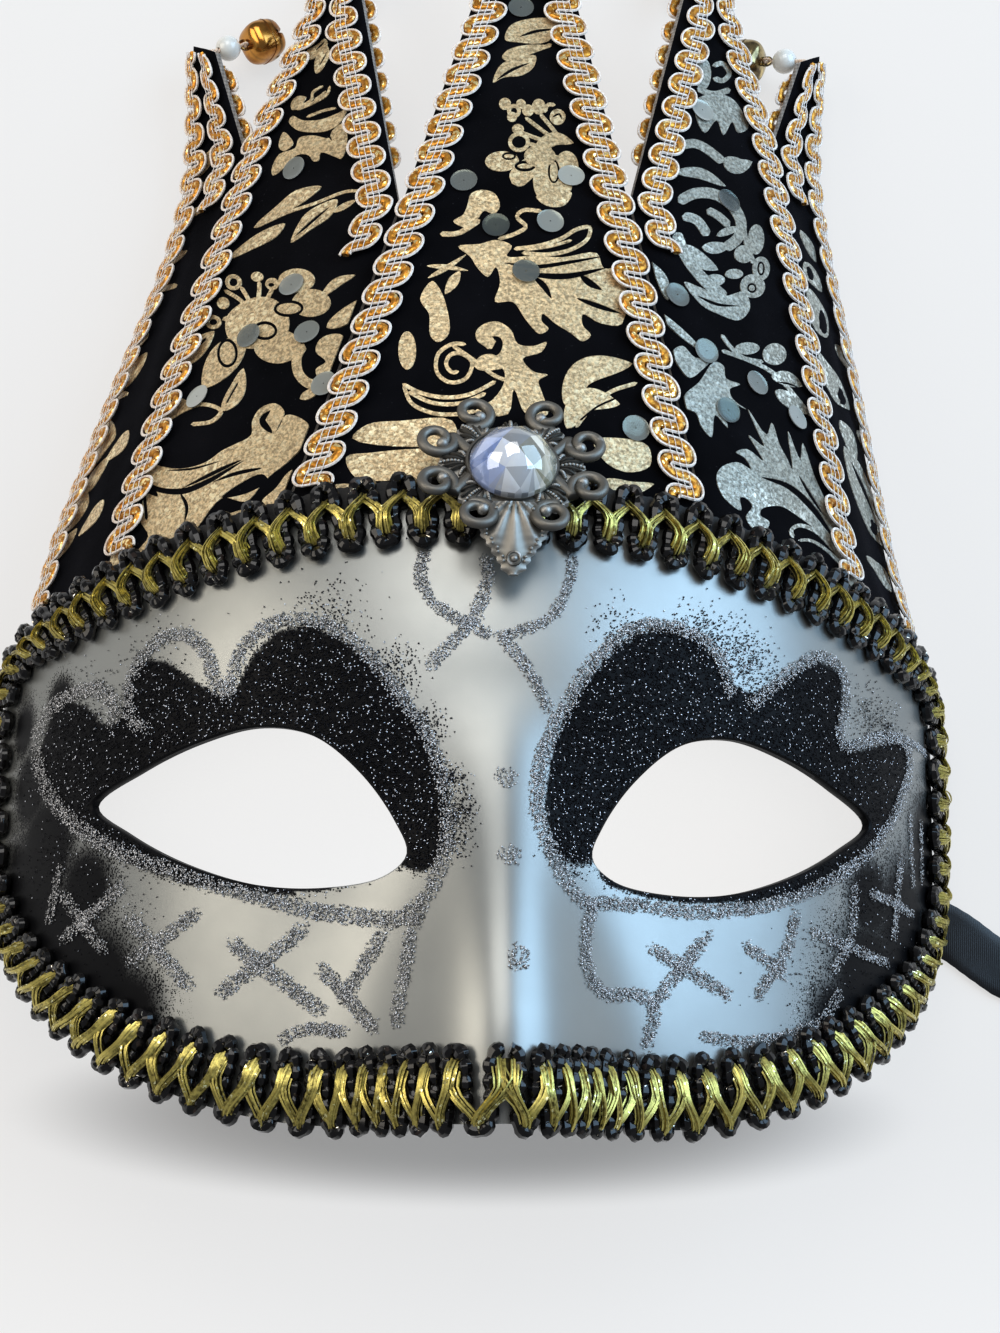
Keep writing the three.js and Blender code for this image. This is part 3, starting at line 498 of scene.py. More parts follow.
foil_reach = 0.47  # share of a panel's width, from its middle, that the foil may cover
foil_charts = {
    "inner_left": """
area 255,224 276,205 296,190 321,186 300,204 272,217
area 227,260 247,240 268,227 284,223 276,235 253,248
line 3 253,227 284,213 315,203 345,191 360,190
area 290,242 302,217 315,207 337,199 331,215 311,229
-leaf 3 294,236 312,221 330,206
leaf 6 333,212 345,205 356,199
area 228,338 226,318 240,303 258,296 276,300 288,316 286,334 268,344 246,348
disc 296,280 19,12
disc 311,303 20,14
disc 277,346 24,17
-ring 3 288,308 14,7
-ring 3 264,330 11,8
leaf 30 244,338 226,356 202,388
-ring 3 227,353 9,13
leaf 18 176,366 192,352 214,331
-line 3 184,357 206,338
line 4 249,311 240,300 224,290
line 4 252,308 246,296 240,286
line 4 256,305 258,290 258,280
line 4 262,304 268,294 272,286
line 4 246,314 232,316 222,320
disc 223,303 6,6
disc 233,282 8,8
-disc 233,282 4,4
disc 256,276 6,5
disc 271,283 7,6
-disc 270,284 3,2
disc 213,322 8,7
-disc 213,322 4,3
leaf 9 322,296 338,282 355,275
leaf 15 327,328 346,316 366,298
line 10 304,344 297,356 298,372 306,382 316,386
area 320,340 336,334 352,340 350,352 340,358 350,366 348,380 336,386 322,384 316,370 326,362 316,352
leaf 9 300,399 310,394 320,389
leaf 16 222,411 236,392 243,368
-line 2 226,404 238,382
line 4 141,448 158,424 178,407
disc 180,404 7,6
line 4 141,450 166,420 200,404 221,411 212,421 190,424
-line 3 150,445 180,418
area 251,435 252,421 260,408 275,403 284,411 281,423 275,433 286,415 302,419 312,429 310,439 \
295,455 283,466 272,474 262,484 246,502 224,498 212,508 200,524 181,545 166,552 150,556 138,552 \
148,536 140,520 146,494 157,496 152,484 142,466 142,460 161,466 181,468 206,462 222,451 234,445
-leaf 4 242,460 212,474 181,488
-leaf 7 272,433 262,420 270,410
-leaf 6 140,468 151,486 179,491 205,483 244,461
-line 3.5 140,478 144,498 146,520
-leaf 2.2 166,470 194,468 222,461
-area 262,474 240,484 222,498 246,494 268,480
-leaf 4 179,492 186,506 184,522
-leaf 4 262,468 236,474 214,482
area 120,540 134,556 150,558 128,574 112,582 104,570
area 292,470 318,470 330,478 318,492 296,504 276,508 262,502 276,488
-leaf 4 324,480 300,486 276,500
area 236,512 258,508 274,516 262,528 238,534 216,536 204,528
area 186,556 206,540 226,540 214,552 196,562 172,566
area 324,38 317,44 308,50 303,57 307,60 314,58 321,51 327,43
-leaf 2 315,50 325,40
area 325,44 318,52 314,62 315,73 320,70 325,62 329,52
-leaf 1.6 318,66 327,50
line 2.4 299,107 311,99 312,92 322,85
line 2.6 297,110 313,102 326,93 329,85
line 2.6 306,117 322,110 335,107
line 2.4 313,100 320,95 325,90
leaf 10 292,110 300,100 306,97
area 293,116 302,120 319,119 335,113 346,109 339,122 326,130 311,132 297,130 289,122
area 299,138 313,135 328,137 331,130 344,122 346,143 340,158 334,156 320,152 318,160 313,161 \
308,155 297,155 284,167 277,173 272,175 271,169 279,154 295,148
area 284,132 292,140 293,144 284,151 279,148 280,138
-leaf 2 326,132 331,140
""",
    "middle": """
area 505,40 509,27 521,20 548,18 560,24 548,41 518,42
-leaf 3 520,36 535,31 556,29
area 502,58 508,50 530,44 552,46 530,52 512,62
line 4 505,68 525,54 552,44
area 493,83 500,66 515,58 536,55 534,66 522,75 503,78
-leaf 3 497,80 512,70 530,62
disc 505,104 6,6
disc 514,111 7,7
-disc 514,111 3,3
disc 521,104 5,5
disc 528,110 6,6
disc 539,106 7,8
disc 512,117 5,5
line 4 545,112 548,104 556,104
disc 558,116 8,8
-line 2 553,116 560,113 562,118
disc 518,129 6,5
ring 4 519,142 9,8
line 4 525,117 540,128 554,138
line 4 540,113 548,122 558,134
line 4 520,132 534,137 550,142
line 4 526,143 540,146 552,148
leaf 14 534,150 555,138 574,142
disc 502,161 17,10
-ring 2 509,156 6,3
line 20 512,183 524,172 536,162
-ring 3 525,166 9,4
disc 553,180 20,26
disc 567,166 12,16
-ring 2 554,171 5,11
area 536,196 553,196 572,192 566,204 553,207 542,203
disc 540,156 16,11
area 467,205 471,193 482,189 495,193 500,205 494,213 484,210 477,219 467,227 453,221 463,214
line 5 440,234 457,233 470,226 480,219
line 4 498,238 515,233 526,226 517,216 523,210 542,211
area 496,239 480,243 458,246 470,256 478,268 488,276 496,266 500,282 495,301 513,301 524,316 \
532,326 540,333 549,328 542,320 543,313 556,323 572,333 583,341 591,335 583,325 583,314 600,323 \
622,324 622,268 604,268 597,253 563,257 534,255 507,255 512,245
-leaf 6 534,276 544,285 552,298
-leaf 6 524,273 566,276 606,268
-leaf 5 577,298 598,306 622,314
-leaf 7 580,275 590,283 602,290
-leaf 4 505,262 536,266 570,262 604,256
line 4 514,248 540,245 562,238 577,229 590,227 588,238 572,249 548,254 522,252
line 3 524,249 550,246 572,240
leaf 5 428,278 446,268 466,254
leaf 5 427,266 448,267 468,270
area 432,281 420,299 429,314 430,335 438,342 449,333 446,304 438,286
area 445,294 449,278 460,271 458,284
disc 407,350 9,19
area 488,349 477,340 476,331 485,323 498,321 511,329 518,343 534,345 547,341 542,351 523,358 \
534,371 548,374 539,380 543,394 548,414 526,414 514,389 508,414 474,412 492,400 503,385 504,370 \
492,360
-leaf 9 484,350 494,352 499,340 492,336
leaf 17 474,366 490,362 506,366
line 4 459,371 452,372 446,364 450,355 460,353 472,362 466,378 450,382 437,372 438,354 452,344 466,344
line 4 452,345 474,360 494,375 506,380
line 4 403,384 411,402 431,412 452,414 476,411
line 4 402,383 420,392 446,397 470,394 496,381
line 4 408,391 432,402 460,403 486,393
leaf 26 565,404 584,372 632,364
-leaf 3 588,385 608,378 632,372
leaf 24 567,428 584,400 620,404
line 4 637,383 610,392 591,408 576,427
-line 2 580,420 598,406 616,398
area 352,438 367,424 400,420 452,420 456,440 412,446
area 346,457 372,452 416,448 446,450 440,478 395,480 355,477
area 330,487 360,484 396,486 424,486 420,510 390,514 352,520 318,524
-leaf 4 336,500 370,496 414,498
area 594,440 622,438 648,446 650,466 628,472 606,462
leaf 14 604,480 630,488 654,484
leaf 14 596,500 626,508 656,504
""",
    "inner_right": """
disc 703,74 8,16
line 5 712,66 722,64 729,73 722,81 713,78
line 6 697,88 713,94 730,90
area 696,100 712,94 730,98 742,112 748,128 738,133 732,122 724,135 717,120 705,133 696,118
line 9 676,147 694,144 708,150 724,162
leaf 16 724,158 738,166 752,162
leaf 11 674,172 700,174 726,186
line 11 678,202 694,194 716,195 735,208 742,224 738,238 724,249
line 9 682,216 696,220 708,236
line 8 706,210 718,216 730,226
leaf 8 716,236 728,231 742,227
leaf 12 702,247 716,248 730,246
line 11 676,232 686,256 703,278 726,298
leaf 15 684,245 700,260 718,270
disc 757,239 8,15
disc 744,254 10,9
disc 762,268 9,12
-ring 2 762,268 3,6
disc 753,286 13,12
-ring 2 752,288 4,4
line 5 743,220 748,245 755,264
disc 734,274 9,5
disc 715,280 10,6
area 684,282 703,288 724,296 744,292 750,308 740,320 720,314 702,305
-leaf 3 698,296 718,304 738,306
leaf 7 658,312 682,334 705,354
area 672,352 682,346 695,358 712,358 702,370 690,378 680,368
area 686,408 684,396 699,382 714,362 724,366 726,378 741,384 730,389 733,399 747,409 730,402 \
720,402 728,428 715,415 712,437 702,427 696,413
line 4 722,334 732,347 744,357 764,362
disc 748,348 12,6
disc 775,354 12,11
line 4 722,350 750,360 775,374 812,416
leaf 14 772,376 786,378 803,386
leaf 14 776,390 790,400 809,414
-leaf 2 778,382 790,384 800,388
area 717,475 723,466 738,462 751,469 745,458 736,452 747,449 764,461 756,447 749,435 765,446 \
757,428 749,409 768,434 773,422 781,444 788,457 794,469 789,431 801,459 803,443 814,474 824,497 \
838,524 858,560 848,570 825,537 801,517 781,506 762,509 761,515 770,522 764,532 754,528 747,516 \
753,506 747,498 741,497 742,510 727,500 720,490
-leaf 6 762,477 790,486 812,506 838,544
-leaf 3 800,475 812,496 826,518
line 4 794,538 792,530 800,525 816,530 832,546 852,572
line 3 799,540 812,540 828,550 848,572
area 822,576 840,572 858,580 868,592 846,592
area 640,508 662,506 676,516 668,528 648,524
area 618,520 640,530 650,540 634,544
leaf 10 668,300 662,280 650,262
leaf 12 662,340 656,324 644,312
""",
    "outer_left": """
line 7 170,240 176,222 190,214 202,208
leaf 12 150,282 166,262 186,250
line 5 142,306 156,292 176,284
area 108,352 122,334 140,322 148,334 134,352 118,366
leaf 11 118,392 132,372 146,352
line 5 96,420 110,402 128,392
area 82,450 94,430 110,420 116,434 104,452 90,466
leaf 10 86,492 96,474 110,456
area 60,520 70,500 84,488 88,502 78,520 66,532
leaf 8 56,560 64,546 76,528
leaf 10 190,180 204,164 214,146
line 5 180,204 196,190 212,180
leaf 9 128,430 120,446 106,462
leaf 9 104,500 92,520 78,536
""",
    "outer_right": """
area 808,288 818,300 828,318 826,338 816,330 808,312
leaf 12 804,262 812,276 822,292
area 818,352 830,366 842,386 850,410 838,404 826,386 816,368
leaf 10 840,420 850,440 856,462
area 844,446 858,462 872,490 880,520 888,548 876,540 862,514 850,484
-leaf 3 852,462 864,490 876,520
leaf 9 866,556 880,570 892,592
leaf 8 836,344 846,360 854,376
leaf 8 858,430 868,446 876,466
line 4 884,520 892,540 898,566
leaf 8 800,230 808,244 816,262
""",
}

sequin_chart = {
    "inner_left": "295,169 308,333 249,336 292,285 198,397 325,385",
    "middle": "496,225 550,222 526,271 521,8 571,176 464,181 635,429",
    "inner_right": "701,111 728,201 676,296 705,352 757,383 727,411 796,418",
}


def numbers(text):
    return [float(n) for n in text.replace(",", " ").split()]


def pairs(values):
    return np.array(values, float).reshape(-1, 2)


def ellipse(centre, reach, count=28):
    angle = np.arange(count) / count * 2 * math.pi
    return np.stack([centre[0] + reach[0] * np.cos(angle), centre[1] + reach[1] * np.sin(angle)], -1)


def stroke(points, width, pointed):
    """The outline of a stroke along a line of points."""
    path = Route(centripetal(points, each=12)).spaced(2.5)
    share = np.linspace(0, 1, len(path))
    if pointed:
        half = width / 2 * np.sin(math.pi * share**0.85) ** 0.7
    else:
        ends = np.minimum(share, 1 - share) * (len(path) - 1) * 2.5 / (width / 2)
        half = width / 2 * np.sqrt(np.clip(1 - (1 - np.minimum(ends, 1)) ** 2, 0, 1))
    way = unit(np.gradient(path, axis=0))
    side = np.stack([-way[:, 1], way[:, 0]], -1) * np.maximum(half, 0.25)[:, None]
    return np.concatenate([path + side, (path - side)[::-1]])


def chart_outlines(text):
    """Outlines in pixels, each with whether it cuts."""
    made = []
    for line in text.strip().splitlines():
        kind, _, rest = line.partition(" ")
        cuts = kind.startswith("-")
        kind, values = kind.lstrip("-"), numbers(rest)
        if kind == "area":
            made.append((centripetal(pairs(values), closed=True, each=4), cuts))
        elif kind == "disc":
            made.append((ellipse(values[:2], values[2:]), cuts))
        elif kind == "ring":
            width, *values = values
            middle = np.array(values[2:])
            made.append((ellipse(values[:2], middle + width / 2), cuts))
            made.append((ellipse(values[:2], middle - width / 2), not cuts))
        else:
            made.append((stroke(pairs(values[1:]), values[0], kind == "leaf"), cuts))
    return made


def inside(points, outline_ring):
    """Which points lie inside a closed outline."""
    x, y = points[:, :1], points[:, 1:]
    a, b = outline_ring, np.roll(outline_ring, -1, axis=0)
    spans = (a[:, 1] > y) != (b[:, 1] > y)
    rise = np.where(b[:, 1] == a[:, 1], 1e-9, b[:, 1] - a[:, 1])
    crossing = a[:, 0] + (y - a[:, 1]) * (b[:, 0] - a[:, 0]) / rise
    return (spans & (x < crossing)).sum(1) % 2 == 1


def panel_ripple(panel, u, v):
    """The cloth's own unevenness over its plain surface."""
    across = np.clip(2 * u - 1, -1, 1)
    number = list(panels).index(panel.name)
    ripple = 0.22 * np.sin(9 * v + 2.1 * across + number) * np.sin(3.7 * across + 5 * v)
    return (ripple - 0.15) * (1 - across**4)


# Meshes


def grid_faces(rows, columns, wrap_columns=False):
    """Quads of a grid of points that is stored row by row."""
    across = columns if wrap_columns else columns - 1
    i, j = (g.ravel() for g in np.meshgrid(np.arange(rows - 1), np.arange(across), indexing="ij"))
    k = (j + 1) % columns
    return np.stack([i * columns + j, i * columns + k, (i + 1) * columns + k, (i + 1) * columns + j], 1)


class Shape:
    """The points and faces of one piece, gathered in millimetres."""

    def __init__(self):
        self.points, self.faces, self.finishes, self.count = [], [], [], 0

    def add(self, points, faces, finish=0):
        points = np.asarray(points, float).reshape(-1, 3)
        faces = [faces] if isinstance(faces, np.ndarray) else faces
        for group in faces:
            self.faces.append(np.asarray(group, int) + self.count)
            self.finishes.append(np.full(len(group), finish) if np.isscalar(finish) else np.asarray(finish))
        self.points.append(points)
        self.count += len(points)

    def slab(self, top, under, finish=0, under_finish=None):
        """The solid between two grids of points, with walls all round."""
        rows, columns = top.shape[:2]
        plain = grid_faces(rows, columns)
        count = rows * columns
        rim = [i * columns for i in range(rows)] + [(rows - 1) * columns + j for j in range(1, columns)]
        rim += [i * columns + columns - 1 for i in range(rows - 2, -1, -1)] + list(range(columns - 2, 0, -1))
        rim = np.array(rim)
        after = np.roll(rim, -1)
        walls = np.stack([rim, after, after + count, rim + count], 1)
        points = np.concatenate([top.reshape(-1, 3), under.reshape(-1, 3)])
        back = finish if under_finish is None else under_finish
        finish = [np.full(len(plain), finish), np.full(len(plain), back), np.full(len(walls), back)]
        faces = np.concatenate([plain, plain[:, ::-1] + count, walls])
        self.add(points, faces, np.concatenate(finish))

    def tubes(self, paths, ups, radius, sides=6, finish=0, flat=1.0, turn=0.0, closed=False):
        """Tubes along paths (K, N, 3), whose flat side looks along ups. radius may be given for each point."""
        paths = np.asarray(paths, float)
        if paths.ndim == 2:
            paths = paths[None]
        count, steps = paths.shape[:2]
        if closed:
            along = unit(np.roll(paths, -1, 1) - np.roll(paths, 1, 1))
        else:
            along = unit(np.gradient(paths, axis=1))
        ups = np.broadcast_to(ups, paths.shape)
        side = unit(np.cross(along, ups))
        up = np.cross(side, along)
        angle = np.arange(sides) / sides * 2 * math.pi + turn
        radius = np.asarray(radius, float)
        while radius.ndim < 3:
            radius = radius[..., None] if radius.ndim else radius.reshape(1, 1, 1)
            if radius.ndim == 2 and radius.shape[0] == steps:
                radius = radius[None]
        ring = side[:, :, None] * np.cos(angle)[:, None] + up[:, :, None] * (flat * np.sin(angle))[:, None]
        points = paths[:, :, None] + ring * radius[..., None]
        quads = grid_faces(steps + 1 if closed else steps, sides, True) % (steps * sides)
        starts = (np.arange(count) * steps * sides)[:, None, None]
        faces = [(quads[None] + starts).reshape(-1, 4)]
        if not closed:
            cap = np.arange(sides)
            ends = np.stack([cap[::-1], cap + (steps - 1) * sides])
            faces.append((ends[None] + starts).reshape(-1, sides))
        self.add(points, faces, finish)

    def build(self, name, materials, smooth=40, slot=None, replaces=(), merge=False):
        mesh = bpy.data.meshes.new(name)
        points = to_part(np.concatenate(self.points)).astype(np.float32)
        loops = np.concatenate([group.ravel() for group in self.faces])
        counts = np.concatenate([np.full(len(group), group.shape[1]) for group in self.faces])
        mesh.vertices.add(len(points))
        mesh.vertices.foreach_set("co", points.ravel())
        mesh.loops.add(len(loops))
        mesh.loops.foreach_set("vertex_index", loops)
        mesh.polygons.add(len(counts))
        mesh.polygons.foreach_set("loop_start", np.concatenate([[0], np.cumsum(counts)[:-1]]))
        mesh.polygons.foreach_set("material_index", np.concatenate(self.finishes))
        mesh.update(calc_edges=True)
        mesh.validate()
        if merge:
            made = bmesh.new()
            made.from_mesh(mesh)
            bmesh.ops.remove_doubles(made, verts=made.verts, dist=merge * MM)
            bmesh.ops.recalc_face_normals(made, faces=made.faces)
            made.to_mesh(mesh)
            made.free()
        for material in materials:
            mesh.materials.append(material)
        if smooth:
            mesh.shade_smooth()
            mesh.set_sharp_from_angle(angle=math.radians(smooth))
        piece = bpy.data.objects.new(name, mesh)
        bpy.context.scene.collection.objects.link(piece)
        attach(piece, "root")
        if replaces:
            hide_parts(*replaces)
        return piece


# Shader helpers


class Nodes:
    """Makes and joins the nodes of one tree."""

    def __init__(self, tree):
        self.tree = tree

    def new(self, kind, inputs=(), **settings):
        node = self.tree.nodes.new(kind)
        for name, value in settings.items():
            setattr(node, name, value)
        for name, value in dict(inputs).items():
            socket = node.inputs[name]
            if isinstance(value, bpy.types.NodeSocket):
                self.tree.links.new(value, socket)
            else:
                socket.default_value = value
        return node

    def math(self, operation, a, b=0.0, clamp=False):
        return self.new("ShaderNodeMath", {0: a, 1: b}, operation=operation, use_clamp=clamp).outputs[0]

    def blend(self, share, a, b, mode="MIX"):
        node = self.new("ShaderNodeMix", data_type="RGBA", blend_type=mode)
        for place, value in ((0, share), (6, a), (7, b)):
            if isinstance(value, bpy.types.NodeSocket):
                self.tree.links.new(value, node.inputs[place])
            else:
                node.inputs[place].default_value = (*value[:3], 1) if place else value
        return node.outputs[2]

    def range(self, value, low, high, to_low, to_high):
        inputs = {"Value": value, "From Min": low, "From Max": high, "To Min": to_low, "To Max": to_high}
        return self.new("ShaderNodeMapRange", inputs).outputs[0]

    def place(self):
        return self.new("ShaderNodeTexCoord").outputs["Object"]

    def noise(self, scale, detail=3.0, roughness=0.55, vector=None):
        inputs = {"Vector": vector or self.place(), "Scale": scale, "Detail": detail, "Roughness": roughness}
        return self.new("ShaderNodeTexNoise", inputs).outputs["Fac"]


def group(name, inputs, outputs, make):
    """A shader node group with named sockets, made once."""
    made = bpy.data.node_groups.get(name)
    if made:
        return made
    made = bpy.data.node_groups.new(name, "ShaderNodeTree")
    for label, kind, value in inputs:
        made.interface.new_socket(name=label, in_out="INPUT", socket_type=kind).default_value = value
    for label, kind in outputs:
        made.interface.new_socket(name=label, in_out="OUTPUT", socket_type=kind)
    nodes = Nodes(made)
    start, end = nodes.new("NodeGroupInput"), nodes.new("NodeGroupOutput")
    for label, socket in make(nodes, start.outputs).items():
        made.links.new(socket, end.inputs[label])
    return made


FLOAT, COLOUR = "NodeSocketFloat", "NodeSocketColor"


def grain_group():
    """Fine and coarse unevenness of a surface."""

    def make(nodes, given):
        fine = nodes.noise(given["Scale"], 4)
        coarse = nodes.noise(nodes.math("MULTIPLY", given["Scale"], 0.12), 2)
        height = nodes.math("ADD", nodes.math("MULTIPLY", fine, 0.5), nodes.math("MULTIPLY", coarse, 0.5))
        swing = nodes.math("MULTIPLY", nodes.math("SUBTRACT", height, 0.5), given["Swing"])
        return {"Height": height, "Roughness": nodes.math("ADD", given["Roughness"], swing, clamp=True)}

    inputs = [("Scale", FLOAT, 1000), ("Roughness", FLOAT, 0.4), ("Swing", FLOAT, 0.4)]
    return group("Surface grain", inputs, [("Height", FLOAT), ("Roughness", FLOAT)], make)


def wear_group():
    """Raised edges rubbed bright and hollows left dark."""

    def make(nodes, given):
        edges = nodes.new("ShaderNodeNewGeometry").outputs["Pointiness"]
        raised = nodes.range(edges, 0.5, nodes.math("ADD", 0.5, given["Width"]), 0, 1)
        sunk = nodes.range(edges, nodes.math("SUBTRACT", 0.5, given["Width"]), 0.5, 1, 0)
        spots = nodes.range(nodes.noise(given["Scale"], 3), 0.4, 0.62, 0, 1)
        worn = nodes.math("MULTIPLY", raised, nodes.math("ADD", nodes.math("MULTIPLY", spots, 0.6), 0.4),
                          clamp=True)
        dirty = nodes.blend(nodes.math("MULTIPLY", sunk, given["Dirt"], clamp=True), given["Colour"],
                            (0.01, 0.009, 0.008))
        return {"Colour": nodes.blend(worn, dirty, given["Worn colour"]), "Worn": worn, "Sunk": sunk}

    inputs = [
        ("Colour", COLOUR, (0.5, 0.5, 0.5, 1)), ("Worn colour", COLOUR, (0.8, 0.8, 0.8, 1)),
        ("Width", FLOAT, 0.06), ("Scale", FLOAT, 900), ("Dirt", FLOAT, 0.8),
    ]
    return group("Edge wear", inputs, [("Colour", COLOUR), ("Worn", FLOAT), ("Sunk", FLOAT)], make)


def tint_group():
    """A slightly different colour for each thread, flake or bead of a piece."""

    def make(nodes, given):
        chance = nodes.new("ShaderNodeNewGeometry").outputs["Random Per Island"]
        share = nodes.math("MULTIPLY", chance, given["Spread"], clamp=True)
        return {"Colour": nodes.blend(share, given["Colour"], given["Other colour"]), "Chance": chance}

    inputs = [
        ("Colour", COLOUR, (0.5, 0.5, 0.5, 1)), ("Other colour", COLOUR, (0.8, 0.8, 0.8, 1)), ("Spread",
                                                                                               FLOAT, 1),
    ]
    return group("Thread tint", inputs, [("Colour", COLOUR), ("Chance", FLOAT)], make)


def fibre_group():
    """Fine fibres with glints between, as in metallised or spun yarn; a glint colour brighter than the yarn is a
    painted highlight.
    """

    def make(nodes, given):
        cells = nodes.new("ShaderNodeTexVoronoi", {"Vector": nodes.place(), "Scale": given["Scale"]})
        lit = nodes.math("FRACT", nodes.math("MULTIPLY", cells.outputs["Color"], 1.0))
        # Cells above the threshold take the glint colour: painted highlights on the fibres.
        glint = nodes.math("GREATER_THAN", lit, given["Glint above"])
        soft = nodes.noise(nodes.math("MULTIPLY", given["Scale"], 0.6), 2)
        body = nodes.blend(nodes.range(soft, 0.35, 0.65, 0, 1), given["Dark"], given["Light"])
        return {"Colour": nodes.blend(glint, body, given["Glint"]), "Height": lit, "Glints": glint}

    inputs = [
        ("Dark", COLOUR, (0.2, 0.1, 0.02, 1)), ("Light", COLOUR, (0.8, 0.5, 0.1, 1)), ("Glint", COLOUR,
                                                                                       (1, 0.9, 0.6, 1)),
        ("Glint above", FLOAT, 0.75), ("Scale", FLOAT, 2500),
    ]
    return group("Yarn fibres", inputs, [("Colour", COLOUR), ("Height", FLOAT), ("Glints", FLOAT)], make)


class Finish:
    """A material with one Principled shader."""

    def __init__(self, name, colour=(0.8, 0.8, 0.8), roughness=0.5, metallic=0.0, **sockets):
        self.material = bpy.data.materials.new(name)
        self.material.use_nodes = True
        self.nodes = Nodes(self.material.node_tree)
        self.shader = self.material.node_tree.nodes["Principled BSDF"]
        self.set("Base Color", (*colour[:3], 1))
        self.set("Roughness", roughness)
        self.set("Metallic", metallic)
        for name, value in sockets.items():
            self.set(name.replace("_", " "), value)

    def set(self, name, value):
        if isinstance(value, bpy.types.NodeSocket):
            self.material.node_tree.links.new(value, self.shader.inputs[name])
        else:
            self.shader.inputs[name].default_value = value

    def use(self, made, **inputs):
        node = self.nodes.new("ShaderNodeGroup", node_tree=made)
        for name, value in inputs.items():
            socket = node.inputs[name.replace("_", " ")]
            if isinstance(value, bpy.types.NodeSocket):
                self.material.node_tree.links.new(value, socket)
            else:
                socket.default_value = (*value[:3], 1) if hasattr(value, "__len__") else value
        return node.outputs

    def bump(self, height, strength, distance):
        inputs = {"Height": height, "Strength": strength, "Distance": distance * MM}
        self.set("Normal", self.nodes.new("ShaderNodeBump", inputs).outputs["Normal"])


def silver_paint(look):
    finish = Finish("satin_silver_paint")
    nodes = finish.nodes
    grain = finish.use(grain_group(), Scale=2600.0, Roughness=0.37, Swing=0.12)
    mottle = nodes.noise(45.0, 3)
    silver = nodes.blend(nodes.range(mottle, 0.35, 0.65, 0, 1), look.silver, [c * 0.93 for c in look.silver])
    spray = nodes.new("ShaderNodeAttribute", attribute_name="spray").outputs["Fac"]
    drops = nodes.new("ShaderNodeTexVoronoi", {"Vector": nodes.place(), "Scale": 3600.0})
    chance = nodes.math("POWER", drops.outputs["Color"], 1.6)
    reach = nodes.math("MULTIPLY", spray, nodes.math("ADD", nodes.math("MULTIPLY", chance, 1.1), 0.28))
    dots = nodes.range(nodes.math("SUBTRACT", reach, drops.outputs["Distance"]), -0.06, 0.04, 0, 1)
    haze = nodes.new("ShaderNodeMapRange", {"Value": spray, "From Min": 0.4, "From Max": 0.95},
                     interpolation_type="SMOOTHSTEP").outputs[0]
    black = nodes.math("MAXIMUM", dots, haze)
    finish.set("Base Color", nodes.blend(black, silver, look.spray))
    finish.set("Metallic", nodes.range(black, 0, 1, 0.72, 0.0))
    finish.set("Specular IOR Level", nodes.range(black, 0, 1, 0.5, 0.1))
    finish.set("Coat Weight", nodes.range(black, 0, 1, 0.12, 0.0))
    finish.set("Coat Roughness", 0.3)
    finish.set("Roughness", nodes.math("ADD", grain["Roughness"], nodes.math("MULTIPLY", black, 0.05)))
    finish.bump(grain["Height"], 0.25, 0.05)
    return finish.material


def bare_plastic():
    finish = Finish("bare_moulded_plastic", roughness=0.5)
    grain = finish.use(grain_group(), Scale=700.0, Roughness=0.5, Swing=0.2)
    finish.set("Base Color", finish.nodes.blend(grain["Height"], (0.56, 0.56, 0.54), (0.7, 0.7, 0.68)))
    finish.set("Roughness", grain["Roughness"])
    finish.bump(grain["Height"], 0.3, 0.1)
    return finish.material


def glitter(name, colour, other, metallic, roughness):
    finish = Finish(name, metallic=metallic)
    tint = finish.use(tint_group(), Colour=colour, Other_colour=other, Spread=1.0)
    finish.set("Base Color", tint["Colour"])
    finish.set("Roughness",
               finish.nodes.math("ADD", finish.nodes.math("MULTIPLY", tint["Chance"], 0.2), roughness))
    return finish.material


def black_glitter():
    finish = Finish("black_glitter", metallic=0.6, Specular_IOR_Level=0.3)
    nodes = finish.nodes
    tint = finish.use(tint_group(), Colour=(0.004, 0.004, 0.005), Other_colour=(0.03, 0.03, 0.038),
                      Spread=1.0)
    # About one flake in eight is painted near-white, as a painted glint on the black glitter.
    bright = nodes.math("GREATER_THAN", tint["Chance"], 0.88)
    finish.set("Base Color", nodes.blend(bright, tint["Colour"], (0.9, 0.92, 0.98)))
    finish.set("Roughness", nodes.range(bright, 0, 1, 0.3, 0.2))
    return finish.material


def glass_black_cord(look):
    finish = Finish("black_glazed_cord", Coat_Weight=0.6, Coat_Roughness=0.05, Specular_IOR_Level=0.2)
    yarn = finish.use(fibre_group(), Dark=look.cord, Light=[c * 1.6 + 0.002 for c in look.cord],
                      Glint=(0.03, 0.02, 0.016), Glint_above=0.88, Scale=1500.0)
    finish.set("Base Color", yarn["Colour"])
    grain = finish.use(grain_group(), Scale=900.0, Roughness=0.16, Swing=0.16)
    finish.set("Roughness", grain["Roughness"])
    finish.bump(grain["Height"], 0.2, 0.06)
    return finish.material


def lurex(name, dark, light, glint, scale, glint_above, roughness, metallic, spread=0.4):
    finish = Finish(name, metallic=metallic)
    yarn = finish.use(fibre_group(), Dark=dark, Light=light, Glint=glint, Glint_above=glint_above,
                      Scale=scale)
    tint = finish.use(tint_group(), Colour=yarn["Colour"], Other_colour=light, Spread=spread)
    finish.set("Base Color", tint["Colour"])
    finish.set("Roughness", finish.nodes.range(yarn["Glints"], 0, 1, roughness, roughness * 0.4))
    finish.bump(yarn["Height"], 0.7, 0.12)
    return finish.material


def spun_thread(name, colour, shade):
    finish = Finish(name, roughness=0.6, Sheen_Weight=0.25)
    yarn = finish.use(fibre_group(), Dark=shade, Light=colour, Glint=colour, Glint_above=0.6, Scale=3200.0)
    finish.set("Base Color", yarn["Colour"])
    finish.bump(yarn["Height"], 0.5, 0.08)
    return finish.material


